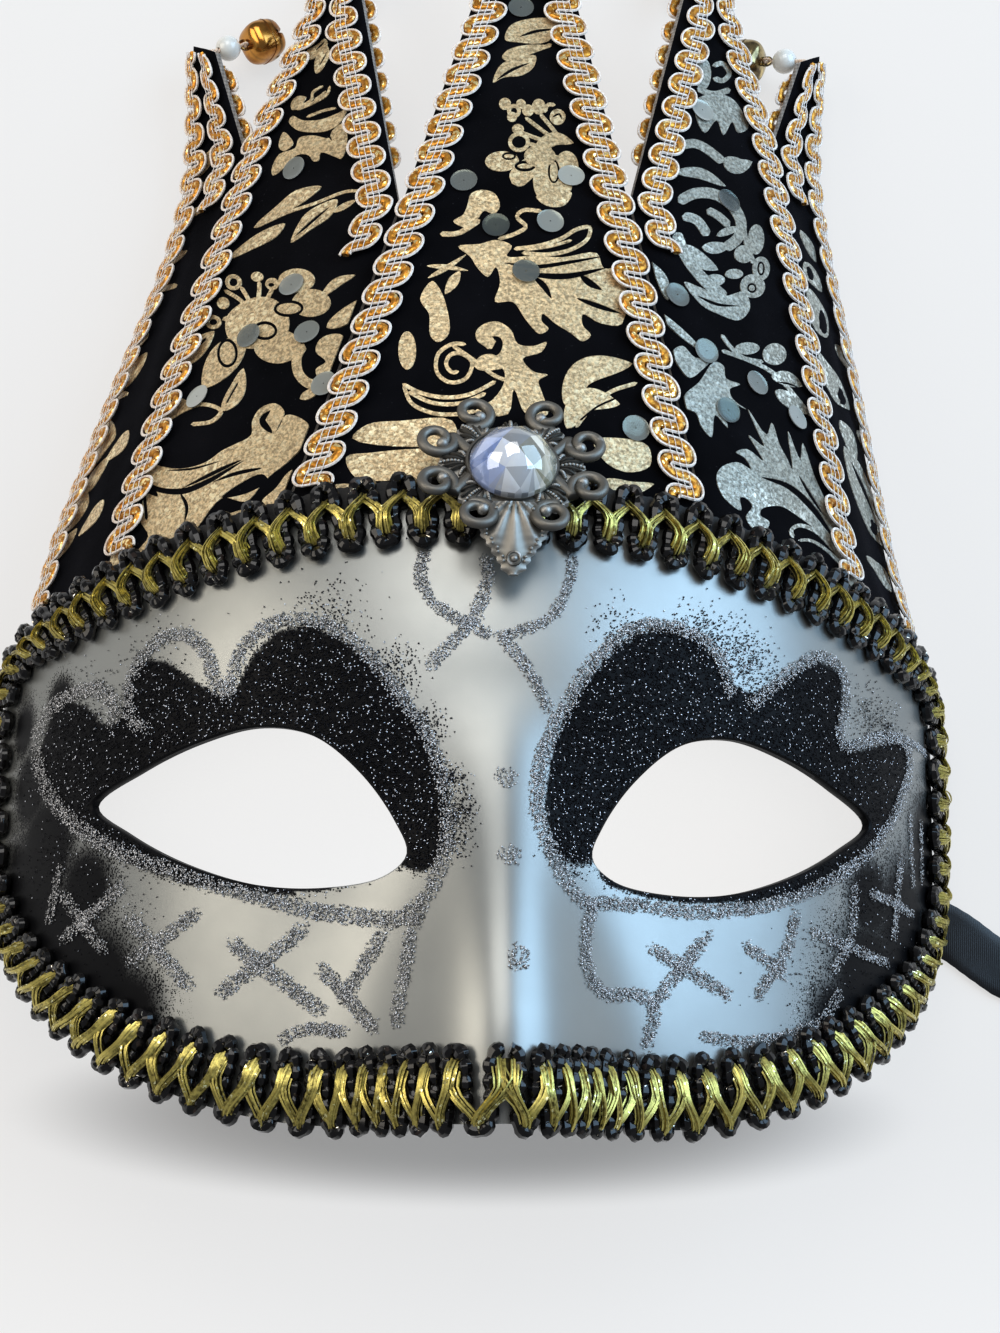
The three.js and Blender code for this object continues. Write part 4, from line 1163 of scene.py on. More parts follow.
def velvet(look):
    finish = Finish("black_velvet", roughness=0.95, Sheen_Weight=0.08, Sheen_Roughness=0.35,
                    Specular_IOR_Level=0.08)
    finish.set("Sheen Tint", (0.4, 0.42, 0.55, 1))
    nodes = finish.nodes
    pile = nodes.noise(5200.0, 2)
    brushed = nodes.noise(70.0, 3)
    dark = nodes.blend(nodes.range(brushed, 0.35, 0.7, 0, 1), look.velvet,
                       [c * 1.9 + 0.002 for c in look.velvet])
    lint = nodes.range(nodes.noise(2400.0, 1), 0.74, 0.8, 0, 0.25)
    finish.set("Base Color", nodes.blend(lint, dark, (0.12, 0.12, 0.13)))
    finish.bump(pile, 0.5, 0.15)
    return finish.material


def backing_cloth():
    finish = Finish("grey_backing_cloth", roughness=0.85, Sheen_Weight=0.2)
    nodes = finish.nodes
    threads = [
        nodes.new("ShaderNodeTexWave", {"Vector": nodes.place(), "Scale": 420.0, "Distortion": 0.6},
                  bands_direction=way).outputs["Fac"]
        for way in ("X", "Y")
    ]
    weave = nodes.math("MULTIPLY", nodes.math("ADD", *threads), 0.5)
    finish.set("Base Color", nodes.blend(weave, (0.15, 0.135, 0.12), (0.33, 0.3, 0.27)))
    finish.bump(weave, 0.5, 0.2)
    return finish.material


def foil(name, colour, bright):
    finish = Finish(name, metallic=0.45)
    nodes = finish.nodes
    grain = finish.use(grain_group(), Scale=1700.0, Roughness=0.42, Swing=0.5)
    crackle = nodes.new("ShaderNodeTexVoronoi", {"Vector": nodes.place(), "Scale": 1500.0})
    worn = nodes.range(nodes.noise(620.0, 5, 0.7), 0.67, 0.71, 0, 0.85)
    patch = nodes.range(nodes.noise(38.0, 2), 0.42, 0.6, 0.25, 1)
    speck = nodes.range(nodes.noise(1900.0, 3, 0.7), 0.4, 0.6, 0, 1)
    deep = nodes.blend(speck, [c * 0.45 for c in colour], colour)
    # Painted highlights: the shine and glint flecks lift the colour towards the bright foil colour.
    shine = nodes.range(nodes.noise(1500.0, 3, 0.75), 0.5, 0.6, 0, 1)
    glint = nodes.math("GREATER_THAN", crackle.outputs["Color"], 0.8)
    shine = nodes.math("MAXIMUM", nodes.math("MULTIPLY", shine, 0.6), nodes.math("MULTIPLY", glint, 0.8))
    body = nodes.blend(nodes.math("MULTIPLY", patch, shine), deep, bright)
    finish.set("Base Color", nodes.blend(worn, body, (0.03, 0.026, 0.02)))
    finish.set("Roughness", grain["Roughness"])
    height = nodes.math("ADD", grain["Height"], nodes.math("MULTIPLY", crackle.outputs["Distance"], 0.7))
    finish.bump(height, 0.6, 0.14)
    return finish.material


def sequin_film():
    finish = Finish("pearly_sequin_film", metallic=0.2, Coat_Weight=0.5, Coat_Roughness=0.1,
                    Thin_Film_Thickness=420.0, Thin_Film_IOR=1.4)
    tint = finish.use(tint_group(), Colour=(0.1, 0.11, 0.11), Other_colour=(0.55, 0.55, 0.5), Spread=1.0)
    finish.set("Base Color", tint["Colour"])
    finish.set("Alpha", finish.nodes.range(tint["Chance"], 0, 1, 0.5, 0.8))
    grain = finish.use(grain_group(), Scale=500.0, Roughness=0.2, Swing=0.2)
    finish.set("Roughness", grain["Roughness"])
    return finish.material


def pewter(look):
    finish = Finish("antique_pewter", metallic=0.9)
    wear = finish.use(wear_group(), Colour=look.pewter, Worn_colour=(0.46, 0.45, 0.43), Width=0.11,
                      Scale=900.0, Dirt=0.85)
    finish.set("Base Color", wear["Colour"])
    grain = finish.use(grain_group(), Scale=1500.0, Roughness=0.5, Swing=0.3)
    finish.set("Roughness", grain["Roughness"])
    finish.bump(grain["Height"], 0.25, 0.1)
    return finish.material


def clear_stone(look):
    finish = Finish("clear_cut_stone", roughness=0.04, metallic=0.15, IOR=1.55, Coat_Weight=1.0,
                    Coat_Roughness=0.02)
    nodes = finish.nodes
    # Painted facet reflections: each facet is painted light or dark, facets facing left are tinted blue and
    # those facing right yellow.
    facing = nodes.new("ShaderNodeNewGeometry").outputs["True Normal"]
    cells = nodes.new("ShaderNodeTexVoronoi", {"Vector": facing, "Scale": 23.0})
    tone = nodes.range(cells.outputs["Color"], 0.2, 0.8, 0.0, 1.0)
    shade = nodes.blend(tone, [c * 0.92 for c in look.stone], (0.11, 0.115, 0.12))
    across = nodes.new("ShaderNodeSeparateXYZ", {"Vector": facing}).outputs["X"]
    shade = nodes.blend(nodes.range(across, -0.55, -0.3, 0.6, 0.0), shade, (0.35, 0.5, 0.95))
    shade = nodes.blend(nodes.range(across, 0.25, 0.6, 0.0, 0.4), shade, (0.85, 0.76, 0.48))
    finish.set("Base Color", shade)
    finish.set("Transmission Weight", 0.2)
    return finish.material


def stone_foil():
    finish = Finish("mirror_behind_stone", metallic=1.0)
    tint = finish.use(tint_group(), Colour=(0.95, 0.95, 0.93), Other_colour=(0.62, 0.7, 0.95), Spread=1.0)
    finish.set("Base Color", tint["Colour"])
    finish.set("Roughness", finish.nodes.math("MULTIPLY", tint["Chance"], 0.15))
    return finish.material


def brass(name, colour, dark):
    finish = Finish(name, metallic=1.0, Coat_Weight=0.4, Coat_Roughness=0.08)
    wear = finish.use(wear_group(), Colour=colour, Worn_colour=[min(1, c * 1.6) for c in colour], Width=0.08,
                      Scale=700.0, Dirt=0.7)
    stain = finish.nodes.range(finish.nodes.noise(380.0, 4), 0.45, 0.65, 0, 1)
    finish.set("Base Color", finish.nodes.blend(stain, wear["Colour"], dark))
    grain = finish.use(grain_group(), Scale=900.0, Roughness=0.2, Swing=0.2)
    finish.set("Roughness", grain["Roughness"])
    return finish.material


def pearl_coat(look):
    finish = Finish("white_pearl", Coat_Weight=0.7, Coat_Roughness=0.15, Sheen_Weight=0.2)
    grain = finish.use(grain_group(), Scale=500.0, Roughness=0.25, Swing=0.1)
    shade = finish.nodes.blend(grain["Height"], look.pearl, [c * 0.85 for c in look.pearl])
    finish.set("Base Color", shade)
    finish.set("Roughness", grain["Roughness"])
    return finish.material


def satin(look):
    finish = Finish("black_satin", Sheen_Weight=0.1, Anisotropic=0.5)
    nodes = finish.nodes
    weave = nodes.new("ShaderNodeTexWave",
                      {"Vector": nodes.place(), "Scale": 900.0, "Distortion": 1.0}).outputs["Fac"]
    finish.set("Base Color", nodes.blend(weave, look.satin, [c * 2 for c in look.satin]))
    grain = finish.use(grain_group(), Scale=2400.0, Roughness=0.33, Swing=0.2)
    finish.set("Roughness", grain["Roughness"])
    finish.bump(weave, 0.25, 0.05)
    return finish.material


def stage_floor(look):
    """Pale ground that glows, less under the chin's edge where a painted shadow dims it and more under the face
    where painted light lifts it.
    """
    finish = Finish("pale_floor", colour=(look.floor[0] * 0.21, look.floor[1] * 0.2, look.floor[2] * 0.19),
                    roughness=0.8, Specular_IOR_Level=0.1)
    nodes = finish.nodes
    axes = nodes.new("ShaderNodeSeparateXYZ", {"Vector": nodes.place()}).outputs

    def spot(middle, reach_x, reach_y):
        across = nodes.math("POWER", nodes.math("ABSOLUTE", nodes.math("DIVIDE", axes["X"], reach_x)), 2.0)
        rise = nodes.math("DIVIDE", nodes.math("SUBTRACT", axes["Y"], middle), reach_y)
        reach = nodes.math("ADD", across, nodes.math("POWER", nodes.math("ABSOLUTE", rise), 2.0))
        return nodes.new("ShaderNodeMapRange",
                         {"Value": reach, "From Min": 0.25, "From Max": 1.6, "To Min": 1.0,
                                                "To Max": 0.0}, interpolation_type="SMOOTHSTEP").outputs[0]

    # Painted light and shadow: the glow rises a little farther below the chin to even out the lamps' fall-off,
    # painted light lifts it under the face, and a painted shadow lowers it under the chin.
    chin, eyes = ((place - origin[1]) * MM for place in (-face_bottom, 0.0))
    painted_light_under_face = nodes.math("MULTIPLY", spot(eyes + 0.002, 0.07, 0.03), 0.15)
    painted_chin_shadow = nodes.math("MULTIPLY", spot(chin, 0.062, 0.0125), 0.46)
    glow = nodes.math("ADD", nodes.range(axes["Y"], chin - 0.06, chin, 0.83, 0.75), painted_light_under_face)
    finish.set("Emission Color", (*look.floor, 1))
    finish.set("Emission Strength", nodes.math("SUBTRACT", glow, painted_chin_shadow))
    return finish.material


# What a user may change


def colour_prop(name, description, default):
    return bpy.props.FloatVectorProperty(
        name=name, description=description, subtype="COLOR", size=3, min=0, max=1, default=default)


def length_prop(name, description, default_mm):
    return bpy.props.FloatProperty(
        name=name, description=description, unit="LENGTH", default=default_mm * MM, min=0.00005, precision=5)


class MaskFinish(bpy.types.PropertyGroup):
    """Colours of the mask's materials."""

    silver: colour_prop("Silver paint", "Satin paint of the moulded face", (0.33, 0.335, 0.32))
    spray: colour_prop("Black spray", "Paint blown over the cheeks", (0.006, 0.006, 0.007))
    cord: colour_prop("Trim cord", "Glazed cord round the face", (0.004, 0.0035, 0.0035))
    velvet: colour_prop("Velvet", "Ground of the crown's cloth", (0.0016, 0.0016, 0.0026))
    gold_foil: colour_prop("Gold foil", "Foil ornament on the left and the middle", (0.74, 0.57, 0.34))
    silver_foil: colour_prop("Silver foil", "Foil ornament on the right", (0.4, 0.39, 0.33))
    pewter: colour_prop("Pewter", "Casting of the brooch", (0.3, 0.285, 0.255))
    stone: colour_prop("Stone", "Cut stone in the brooch", (0.96, 0.98, 1.0))
    pearl: colour_prop("Pearl", "Beads at the tips", (0.78, 0.77, 0.72))
    satin: colour_prop("Satin", "Ties at the temples", (0.004, 0.004, 0.0045))
    floor: colour_prop("Floor", "Ground under the mask", (0.9, 0.9, 0.9))


class MaskSizes(bpy.types.PropertyGroup):
    """Sizes of the fine parts that the frame leaves open."""

    cord: length_prop("Trim cord", "Diameter of the black cord", 2.1)
    winding: length_prop("Cord winding", "Length of cord for one turn of its metal thread", 2.0)
    gold_strand: length_prop("Gold strand", "Diameter of one strand in the trim's bundles", 0.3)
    gimp_band: length_prop("Gimp band", "Width of the braid's gold band", 1.5)
    gimp_cord: length_prop("Gimp cord", "Diameter of the braid's pale cords", 0.5)
    flake: length_prop("Glitter flake", "Side of one flake", 0.34)
    foil: length_prop("Foil", "Thickness of the foil above the pile", 0.12)
    sequin: length_prop("Sequin", "Diameter of a sequin", 4.4)


# Face


def face_solid():
    """Rings from each eye's rim out to the outline, on the outside and on the inside of the wall."""
    shape = Shape()
    around, midline = 170, 70
    rim = outline.at(np.linspace(0, 1, around + 1))
    low, high = np.array(outline_points[-1]), np.array(outline_points[0])
    middle = mix(low, high, (np.arange(1, midline) / midline)[:, None])
    rim = np.concatenate([rim, middle])
    angles = np.arctan2(rim[:, 1], rim[:, 0] - eye_centre)
    inner = np.stack([eye_centre + eye_reach(angles) * np.cos(angles),
                      eye_reach(angles) * np.sin(angles)], -1)
    span = np.linalg.norm(rim - inner, axis=1)
    soft = 0.3
    shares = np.linspace(0, 1, 30) ** 1.15
    inner_shares = shares[[0, 1, 3, 5, 8, 12, 16, 20, 24, 27, 29]]
    for side in (1, -1):
        rows = []
        for share in shares[::-1]:
            reach = np.maximum(share, soft / span)[:, None] if share == 0 else share
            flat = mix(inner, rim, reach)
            rows.append((flat, 0.0))
        rows.append((inner, -soft))
        rows.append((inner, soft - face_wall))
        for share in inner_shares:
            flat = mix(inner, rim, (soft / span)[:, None]) if share == 0 else mix(inner, rim, share)
            rows.append((flat, -face_wall))
        layers = []
        for flat, off in rows:
            x, y = flat[:, 0] * side, flat[:, 1]
            x = np.where(np.abs(x) < 1e-6, 0.0, x)
            layers.append(on_face(x, y) + face_normal(x, y) * off)
        points = np.stack(layers)
        count = len(rim)
        faces = grid_faces(len(rows), count, True)
        wall = np.arange(around)
        last = (len(rows) - 1) * count
        closing = np.stack([wall + last, wall + 1 + last, wall + 1, wall], 1)
        faces = np.concatenate([faces, closing])
        outside = len(shares) + 1
        finish = np.where(np.arange(len(faces)) // count < outside, 0, 1)
        if side < 0:
            faces = faces[:, ::-1]
        shape.add(points, faces, finish)
    return shape


# Black paint blown on: the photograph's pixel and the cloud's radius on the face in millimetres
spray_clouds = [
    (26, 905, 14), (60, 950, 12), (45, 850, 10), (30, 790, 7), (95, 985, 10), (125, 1015, 8), (85, 890, 7),
    (930, 790, 8), (925, 860, 12), (905, 930, 13), (870, 985, 12), (840, 1025, 8), (935, 730, 6), (870, 900, 7),
    (24, 730, 5), (60, 700, 4),
]


def spray_mask(points):
    pixels = to_pixels(points)
    mask = np.zeros(len(points))
    for line in black_patches.strip().splitlines():
        ring = centripetal(pairs(numbers(line)), closed=True, each=4)
        distance = np.sqrt(((pixels[:, None] - ring[None]) ** 2).sum(-1).min(1))
        depth = distance * np.where(inside(pixels, ring), 1, -1)
        mask = np.maximum(mask, smoothstep(depth, -9, 5))
    centres = face_at(np.array([(x, y) for x, y, _ in spray_clouds], float))
    for centre, (_, _, radius) in zip(centres, spray_clouds):
        reach = np.linalg.norm(points - centre, axis=1)
        mask = np.maximum(mask, 1 - smoothstep(reach, radius * 0.3, radius * 2.0))
    return mask


# Trim

# How close its loops are drawn: millimetres from the chin's notch along the band, share of the pitch
loop_closeness_left = [(0, 1.15), (6, 1.05), (9, 0.68), (24, 0.66), (31, 0.9), (40, 0.95)]
loop_closeness_right = [(0, 0.8), (4, 0.6), (13, 0.5), (18, 0.8), (24, 0.9), (40, 0.95)]


class TrimBand:
    """The strip along the face's edge: how far along, how far in from its outer edge, how far off the face."""

    def __init__(self):
        shares = np.linspace(0, 1, 1400)
        half = np.abs(1 - 2 * shares)
        ahead = np.abs(1 - 2 * np.clip(shares + 0.003, 0, 1))
        behind = np.abs(1 - 2 * np.clip(shares - 0.003, 0, 1))

        def edge_at(where, share):
            p = outline.at(where)
            p[:, 0] *= np.where(share < 0.5, -1, 1)
            return p

        edge = edge_at(half, shares)
        tangent = edge_at(ahead, shares + 0.003) - edge_at(behind, shares - 0.003)
        tangent = unit(np.concatenate([tangent, np.zeros((len(edge), 1))], 1))
        self.free = smoothstep(-edge[:, 1], -0.5 * face_top, -0.2 * face_top)
        self.step, self.before = 0.5, 3.0
        p = on_face(edge[:, 0], edge[:, 1])
        normal = face_normal(p[:, 0], p[:, 1])

        def inward_of(normal):
            flat = unit(tangent - normal * (tangent * normal).sum(1, keepdims=True))
            return unit(np.cross(flat, normal))

        inward = inward_of(normal)
        outer = [(p - inward * k * self.step, normal) for k in range(int(self.before / self.step), 0, -1)]
        rows = outer + [(p, normal)]
        for _ in range(28):
            inward = inward_of(normal)
            p = p + inward * self.step
            p = on_face(p[:, 0], p[:, 1])
            normal = face_normal(p[:, 0], p[:, 1])
            rows.append((p, normal))
        self.places = np.stack([row[0] for row in rows], 1)
        self.normals = np.stack([row[1] for row in rows], 1)
        middle = self.places[:, int((self.before + trim_width / 2) / self.step)]
        steps = np.linalg.norm(np.diff(middle, axis=0), axis=1)
        self.measure = np.concatenate([[0], np.cumsum(steps)])
        self.length = self.measure[-1]
        place = np.linspace(0, self.length, 700)
        close = np.interp(place, *zip(*loop_closeness_left)) * np.interp(self.length - place,
                                                                         *zip(*loop_closeness_right))
        turns = np.concatenate([[0], np.cumsum(np.diff(place) / (trim_pitch * close[1:]))])
        self.loops = round(turns[-1])
        self.turns, self.turn_places = turns * self.loops / turns[-1], place

    def turned(self, turn):
        """How far along the band a turn of the cord lies, past its ends too."""
        rounds, turn = np.divmod(turn, self.loops)
        return np.interp(turn, self.turns, self.turn_places) + rounds * self.length

    def width(self, along):
        return trim_width + trim_extra_width * np.interp(along, self.measure, self.free)

    def at(self, along, across, off):
        """Places and normals; across runs from 0 at the outer edge."""
        along = np.where((along < 0) | (along > self.length), along % self.length, along)
        row = np.interp(along, self.measure, np.arange(len(self.measure)))
        reach = across - trim_overhang * np.interp(along, self.measure, self.free)
        column = np.clip((reach + self.before) / self.step, 0, self.places.shape[1] - 1.001)
        i = np.minimum(row.astype(int), len(self.measure) - 2)
        j = column.astype(int)
        fi, fj = (row - i)[..., None], (column - j)[..., None]

        def read(grid):
            low = grid[i, j] * (1 - fj) + grid[i, j + 1] * fj
            high = grid[i + 1, j] * (1 - fj) + grid[i + 1, j + 1] * fj
            return low * (1 - fi) + high * fi

        normal = unit(read(self.normals))
        return read(self.places) + normal * np.asarray(off)[..., None], normal


def meander(loops, along_at, spacing, width_at, lean=1.12):
    """A serpentine line as (along, across) pairs at equal steps; width_at gives its reach from side to side."""
    turn = np.linspace(0, 2 * math.pi * loops, loops * 60 + 1)
    along = along_at(turn / (2 * math.pi))
    sway = np.gradient(along, turn) / 2 * lean
    swing = np.cos(turn)
    across = 0.5 + 0.5 * np.sign(swing) * np.abs(swing) ** 0.8
    line = np.stack([along + sway * np.sin(2 * turn), across * width_at(along)], -1)
    return Route(line).spaced(spacing)


def below(shape, level):
    """Lays what would sink under the table on it."""
    for points in shape.points:
        points[:, 2] = np.maximum(points[:, 2], level)


# Operators


class MASK_OT_face(bpy.types.Operator):
    """The moulded face, painted silver outside and black at the cheeks."""

    bl_idname = "mask.face"
    bl_label = "Moulded face"

    def execute(self, context):
        look = context.scene.mask_finish
        face = face_solid().build("moulded_face", [silver_paint(look), bare_plastic()], slot="silver",
                                  replaces=["face_shell"], merge=0.002)
        mesh = face.data
        points = np.zeros(len(mesh.vertices) * 3)
        mesh.vertices.foreach_get("co", points)
        points = points.reshape(-1, 3) / MM + origin
        spray = mesh.attributes.new("spray", "FLOAT", "POINT")
        spray.data.foreach_set("value", spray_mask(points).astype(np.float32))
        return {"FINISHED"}


class MASK_OT_trim(bpy.types.Operator):
    """Looped black cord round the face, with bundles of gold strands between its loops."""

    bl_idname = "mask.trim"
    bl_label = "Trim"

    def execute(self, context):
        look, sizes = context.scene.mask_finish, context.scene.mask_sizes
        band = TrimBand()
        radius = sizes.cord / MM / 2
        inset = radius + 0.1
        lap = 2.0
        line = meander(band.loops, band.turned, 0.36, lambda along: band.width(along) - 2 * inset)
        along, across = line.T
        measure = np.arange(len(line)) * 0.36
        shape = Shape()
        over = (across < band.width(along) * 0.3) * lap * (1 - np.interp(along, band.measure, band.free))
        path, normal = band.at(along, across + inset - self.smooth(over),
                               radius + 0.1 + 0.3 * self.smooth(over))
        sides = 8
        turn = sizes.winding / MM
        phase = np.arange(sides) / sides * 2 * math.pi + 2 * math.pi * measure[:, None] / turn
        groove = np.exp(-((((phase + math.pi) % (2 * math.pi)) - math.pi) / 0.6) ** 2)
        lumps = np.abs(np.sin(math.pi * measure / turn))[:, None] ** 0.6
        swell = (0.6 + 0.47 * lumps) * (1 - 0.06 * groove)
        shape.tubes(path, normal, radius * swell[None], sides)
        self.wind(shape, path, normal, radius, measure, turn)
        self.tape(shape, band)
        below(shape, table)
        materials = [glass_black_cord(look),
                     lurex("dark_metal_thread", (0.01, 0.009, 0.007), (0.1, 0.085, 0.06), (0.95, 0.9, 0.78),
                           1500.0, 0.72, 0.3, 0.9),
                     spun_thread("black_tape_thread", (0.012, 0.011, 0.01), (0.004, 0.004, 0.004))]
        shape.build("edge_cord", materials, slot="trim", replaces=["edge_trim"])
        self.bundles(band, sizes)
        return {"FINISHED"}

    def smooth(self, values):
        return np.convolve(np.pad(values, 6, mode="edge"), np.ones(13) / 13, "valid")

    def tape(self, shape, band):
        """The dark tape that the loops are sewn to, along the top of the face."""
        held = band.measure[band.free == 0]
        along = np.linspace(held[0] + 1, held[-1] - 1, 420)[:, None] + np.zeros((1, 9))
        across = np.linspace(-1.2, 3.6, 9)[None] + 0.12 * np.sin(along * 4)
        top, _ = band.at(along, across, np.full(along.shape, 0.5))
        under, _ = band.at(along, across, np.full(along.shape, 0.15))
        shape.slab(top, under, 2)

    def wind(self, shape, path, normal, radius, measure, turn):
        """The fine metal thread that pinches the cord, wound along its groove."""
        along = unit(np.gradient(path, axis=0))
        side = unit(np.cross(along, normal))
        up = np.cross(side, along)
        angle = math.pi / 2 - 2 * math.pi * measure[:, None] / turn
        helix = path + (side * np.cos(angle) + up * np.sin(angle)) * radius * 0.82
        shape.tubes(helix, helix - path, 0.08, 3, finish=1)

    def bundles(self, band, sizes):
        """Two fans of strands from each loop's inner end to the outer edge, either way along."""
        rng = np.random.default_rng(7)
        shape = Shape()
        strand = sizes.gold_strand / MM / 2
        share = np.linspace(0, 1, 9)
        turns = np.arange(band.loops)
        for way in (1, -1):
            for is_major, count, lift in ((True, 11, 0.3), (False, 9, 0.05)):
                left_side = band.turned(turns) < band.length / 2
                chosen = turns[(np.where(left_side, way > 0, way < 0) == is_major) | (turns == 0) & is_major]
                turn = np.repeat(chosen, count)[:, None]
                start = band.turned(turn)
                pitch = np.abs(band.turned(turn + way) - start)
                place = np.tile(np.linspace(-1, 1, count), len(chosen))[:, None] + rng.normal(0, 0.1,
                                                                                              start.shape)
                width = band.width(start)
                spread = np.clip(pitch / trim_pitch, 0.5, 1) * 1.4
                skew = rng.normal(0, 0.16, start.shape) * (share - 0.5)
                fan = place * spread * (1 - 0.2 * np.sin(share * math.pi) - 0.4 * share) + skew
                slide = smoothstep(share, 0.3, 0.97)
                along = start + way * slide * pitch * 0.5 + fan
                across = mix(width - 2.6, np.full_like(width, 1.1), share) + rng.normal(0, 0.1, start.shape)
                dome = np.sin(np.clip(share * 1.04, 0, 1) * math.pi) ** 0.7
                off = 0.8 + lift + 1.75 * dome + 0.4 * (1 - place**2) + rng.normal(0, 0.16, start.shape)
                path, normal = band.at(along, across, off)
                shape.tubes(path, normal, strand, 3, turn=rng.uniform(0, 6))
                one = slice(0, None, count)
                # A near-black core tube under each fan: painted shade showing between the strands.
                core, up = band.at((start + way * slide * pitch * 0.5)[one],
                                   mix(width - 2.7, np.full_like(width, 1.3), share)[one],
                                   (0.35 + lift + 1.6 * dome) * np.ones_like(width)[one])
                taper = 0.9 - 0.2 * np.sin(share * math.pi) - 0.35 * share
                half = spread[one, :, None] * taper[None, :, None]
                shape.tubes(core, up, half, 6, finish=1, flat=0.4)
        below(shape, table)
        gold = lurex("greenish_gold_lurex", (0.05, 0.038, 0.008), (0.62, 0.53, 0.17), (1.0, 0.97, 0.62),
                     2600.0, 0.85,
                     0.32, 0.7, spread=1.0)
        # The core's near-black yarn is painted shade in the gaps between the strands.
        core = lurex("gold_core_painted_shade", (0.012, 0.009, 0.003), (0.07, 0.055, 0.015), (0.2, 0.17, 0.06),
                     2600.0, 0.9,
                     0.4, 0.7)
        shape.build("trim_gold_strands", [gold, core], slot="gimp")


class MASK_OT_crown(bpy.types.Operator):
    """The five cloth points of the crown."""

    bl_idname = "mask.crown"
    bl_label = "Crown cloth"

    def execute(self, context):
        look = context.scene.mask_finish
        cloth, backing = velvet(look), backing_cloth()
        for name, panel in panels.items():
            shape = Shape()
            rows, columns = 76, 30
            v = np.linspace(0, 1, rows)[:, None]
            across = np.linspace(-1, 1, columns)[None]
            edge = panel_gap / 2 / panel.width(v[:, 0])[:, None]
            u = mix(edge, 1 - edge, (across + 1) / 2)
            round_off = 0.6 * np.abs(across) ** 14
            top = panel.at(u, v, panel_ripple(panel, u, v) - round_off)
            under = panel.at(u, v, -panel_wall + round_off)
            shape.slab(top, under, 0, 1)
            shape.build("crown_cloth_" + name, [cloth, backing], slot="velvet",
                        replaces=["crown_point_" + name])
        return {"FINISHED"}


class MASK_OT_gimp(bpy.types.Operator):
    """The serpentine gimp braids along the crown's points, in front and behind."""

    bl_idname = "mask.gimp"
    bl_label = "Gimp braids"

    def execute(self, context):
        sizes = context.scene.mask_sizes
        materials = [
            lurex("orange_gold_lurex", (0.3, 0.11, 0.012), (0.72, 0.36, 0.06), (1.0, 0.82, 0.42), 2100.0,
                  0.7, 0.34, 0.7),
            spun_thread("pale_gimp_cord", (0.86, 0.8, 0.74), (0.62, 0.52, 0.44)),
            spun_thread("white_stitching", (0.82, 0.8, 0.78), (0.55, 0.5, 0.46)),
        ]
        starts = {
            "outer_left": (0, self.below_valley("outer_left", 1)),
            "inner_left": (0, self.below_valley("inner_left", 1)),
            "middle": (0, 0), "inner_right": (self.below_valley("inner_right", 0), 0),
            "outer_right": (self.below_valley("outer_right", 0), 0),
        }
        for name, panel in panels.items():
            for end, letter in enumerate("ab"):
                self.front(panel, end, starts[name][end], materials, sizes, f"{name}_{letter}")
                valley = panel.valleys[end]
                if valley:
                    self.back(panel, end, valley + (1 - valley) * 0.16, materials, sizes, f"{name}_{letter}")
        return {"FINISHED"}

    def below_valley(self, name, end):
        """A braid beside a seam starts a little under the valley."""
        panel = panels[name]
        return panel.valleys[end] - braid_tail / panel.edges[end].length

    def place(self, panel, end, first, line, off):
        """Turns (along, across) pairs into places on the panel, across counted from its edge."""
        length = panel.edges[end].length
        v = np.clip(first + line[..., 0] / length, 0, 1)
        u = line[..., 1] / panel.width(v)
        u = 1 - u if end else u
        return panel.at(u, v, off), panel.normal(u, v)

    def strip(self, shape, panel, end, first, last, low, reach_at, height, side, sizes, stitched):
        length = (last - first) * panel.edges[end].length
        band, cord = sizes.gimp_band / MM / 2, sizes.gimp_cord / MM / 2
        inset = band + 2 * cord
        loops = max(1, round((length - 2 * inset) / braid_pitch))
        centre = meander(loops, lambda turn: inset + turn / loops * (length - 2 * inset), 0.4,
                         lambda along: np.maximum(reach_at(along) - low - 2 * inset, 0.8), 1.05)
        centre[:, 1] += low + inset
        way = unit(np.gradient(centre, axis=0))
        across = np.stack([-way[:, 1], way[:, 0]], -1)
        path, up = self.place(panel, end, first, centre, np.full(len(centre), height))
        measure = np.arange(len(centre)) * 0.4
        sides = 8
        phase = np.arange(sides) / sides * 2 * math.pi * 2 + 2 * math.pi * measure[:, None] / 1.3
        shape.tubes(path, up, band * (0.94 + 0.1 * np.cos(phase))[None], sides, flat=0.72)
        for edge in (-1, 1):
            offset = Route(centre + across * edge * (band + cord * 0.8)).spaced(0.55)
            path, up = self.place(panel, end, first, offset, np.full(len(offset), height + side * 0.12))
            shape.tubes(path, up, cord, 5, finish=1)
        if not stitched:
            return
        for share in (0.35, 0.5, 0.65):
            along = np.arange(inset, length - inset, 0.7)
            reach = low + share * (reach_at(along) - low)
            line = np.stack([along, reach], -1)
            bob = 0.08 * np.cos(along / braid_pitch * 4 * math.pi)
            path, up = self.place(panel, end, first, line, height + band * 0.72 + 0.02 + bob)
            shape.tubes(path, up, 0.075, 4, finish=2)

    def front(self, panel, end, start, materials, sizes, label):
        length = panel.edges[end].length
        first, last = start + 0.1 / length, 1 - gap / length
        shape = Shape()

        def reach(along):
            v = np.clip(first + along / length, 0, 1)
            return np.minimum(braid_width, panel.width(v) / 2 - gap)

        self.strip(shape, panel, end, first, last, panel_gap / 2, reach, 0.95, 1, sizes, True)
        below(shape, table)
        shape.build("gimp_" + label, materials, slot="gimp", replaces=["braid_" + label])

    def back(self, panel, end, start, materials, sizes, label):
        length = panel.edges[end].length
        last = 1 - 4 * gap / length
        shape = Shape()

        def reach(along):
            v = np.clip(start + along / length, 0, 1)
            return np.minimum(braid_width / 2 + 0.8, panel.width(v) / 2 - gap)

        self.strip(shape, panel, end, start, last, -back_braid_shows, reach, -panel_wall - 0.75, -1,
                   sizes, False)
        below(shape, table)
        shape.build("lining_gimp_" + label, materials, slot="gimp", replaces=["lining_" + label])


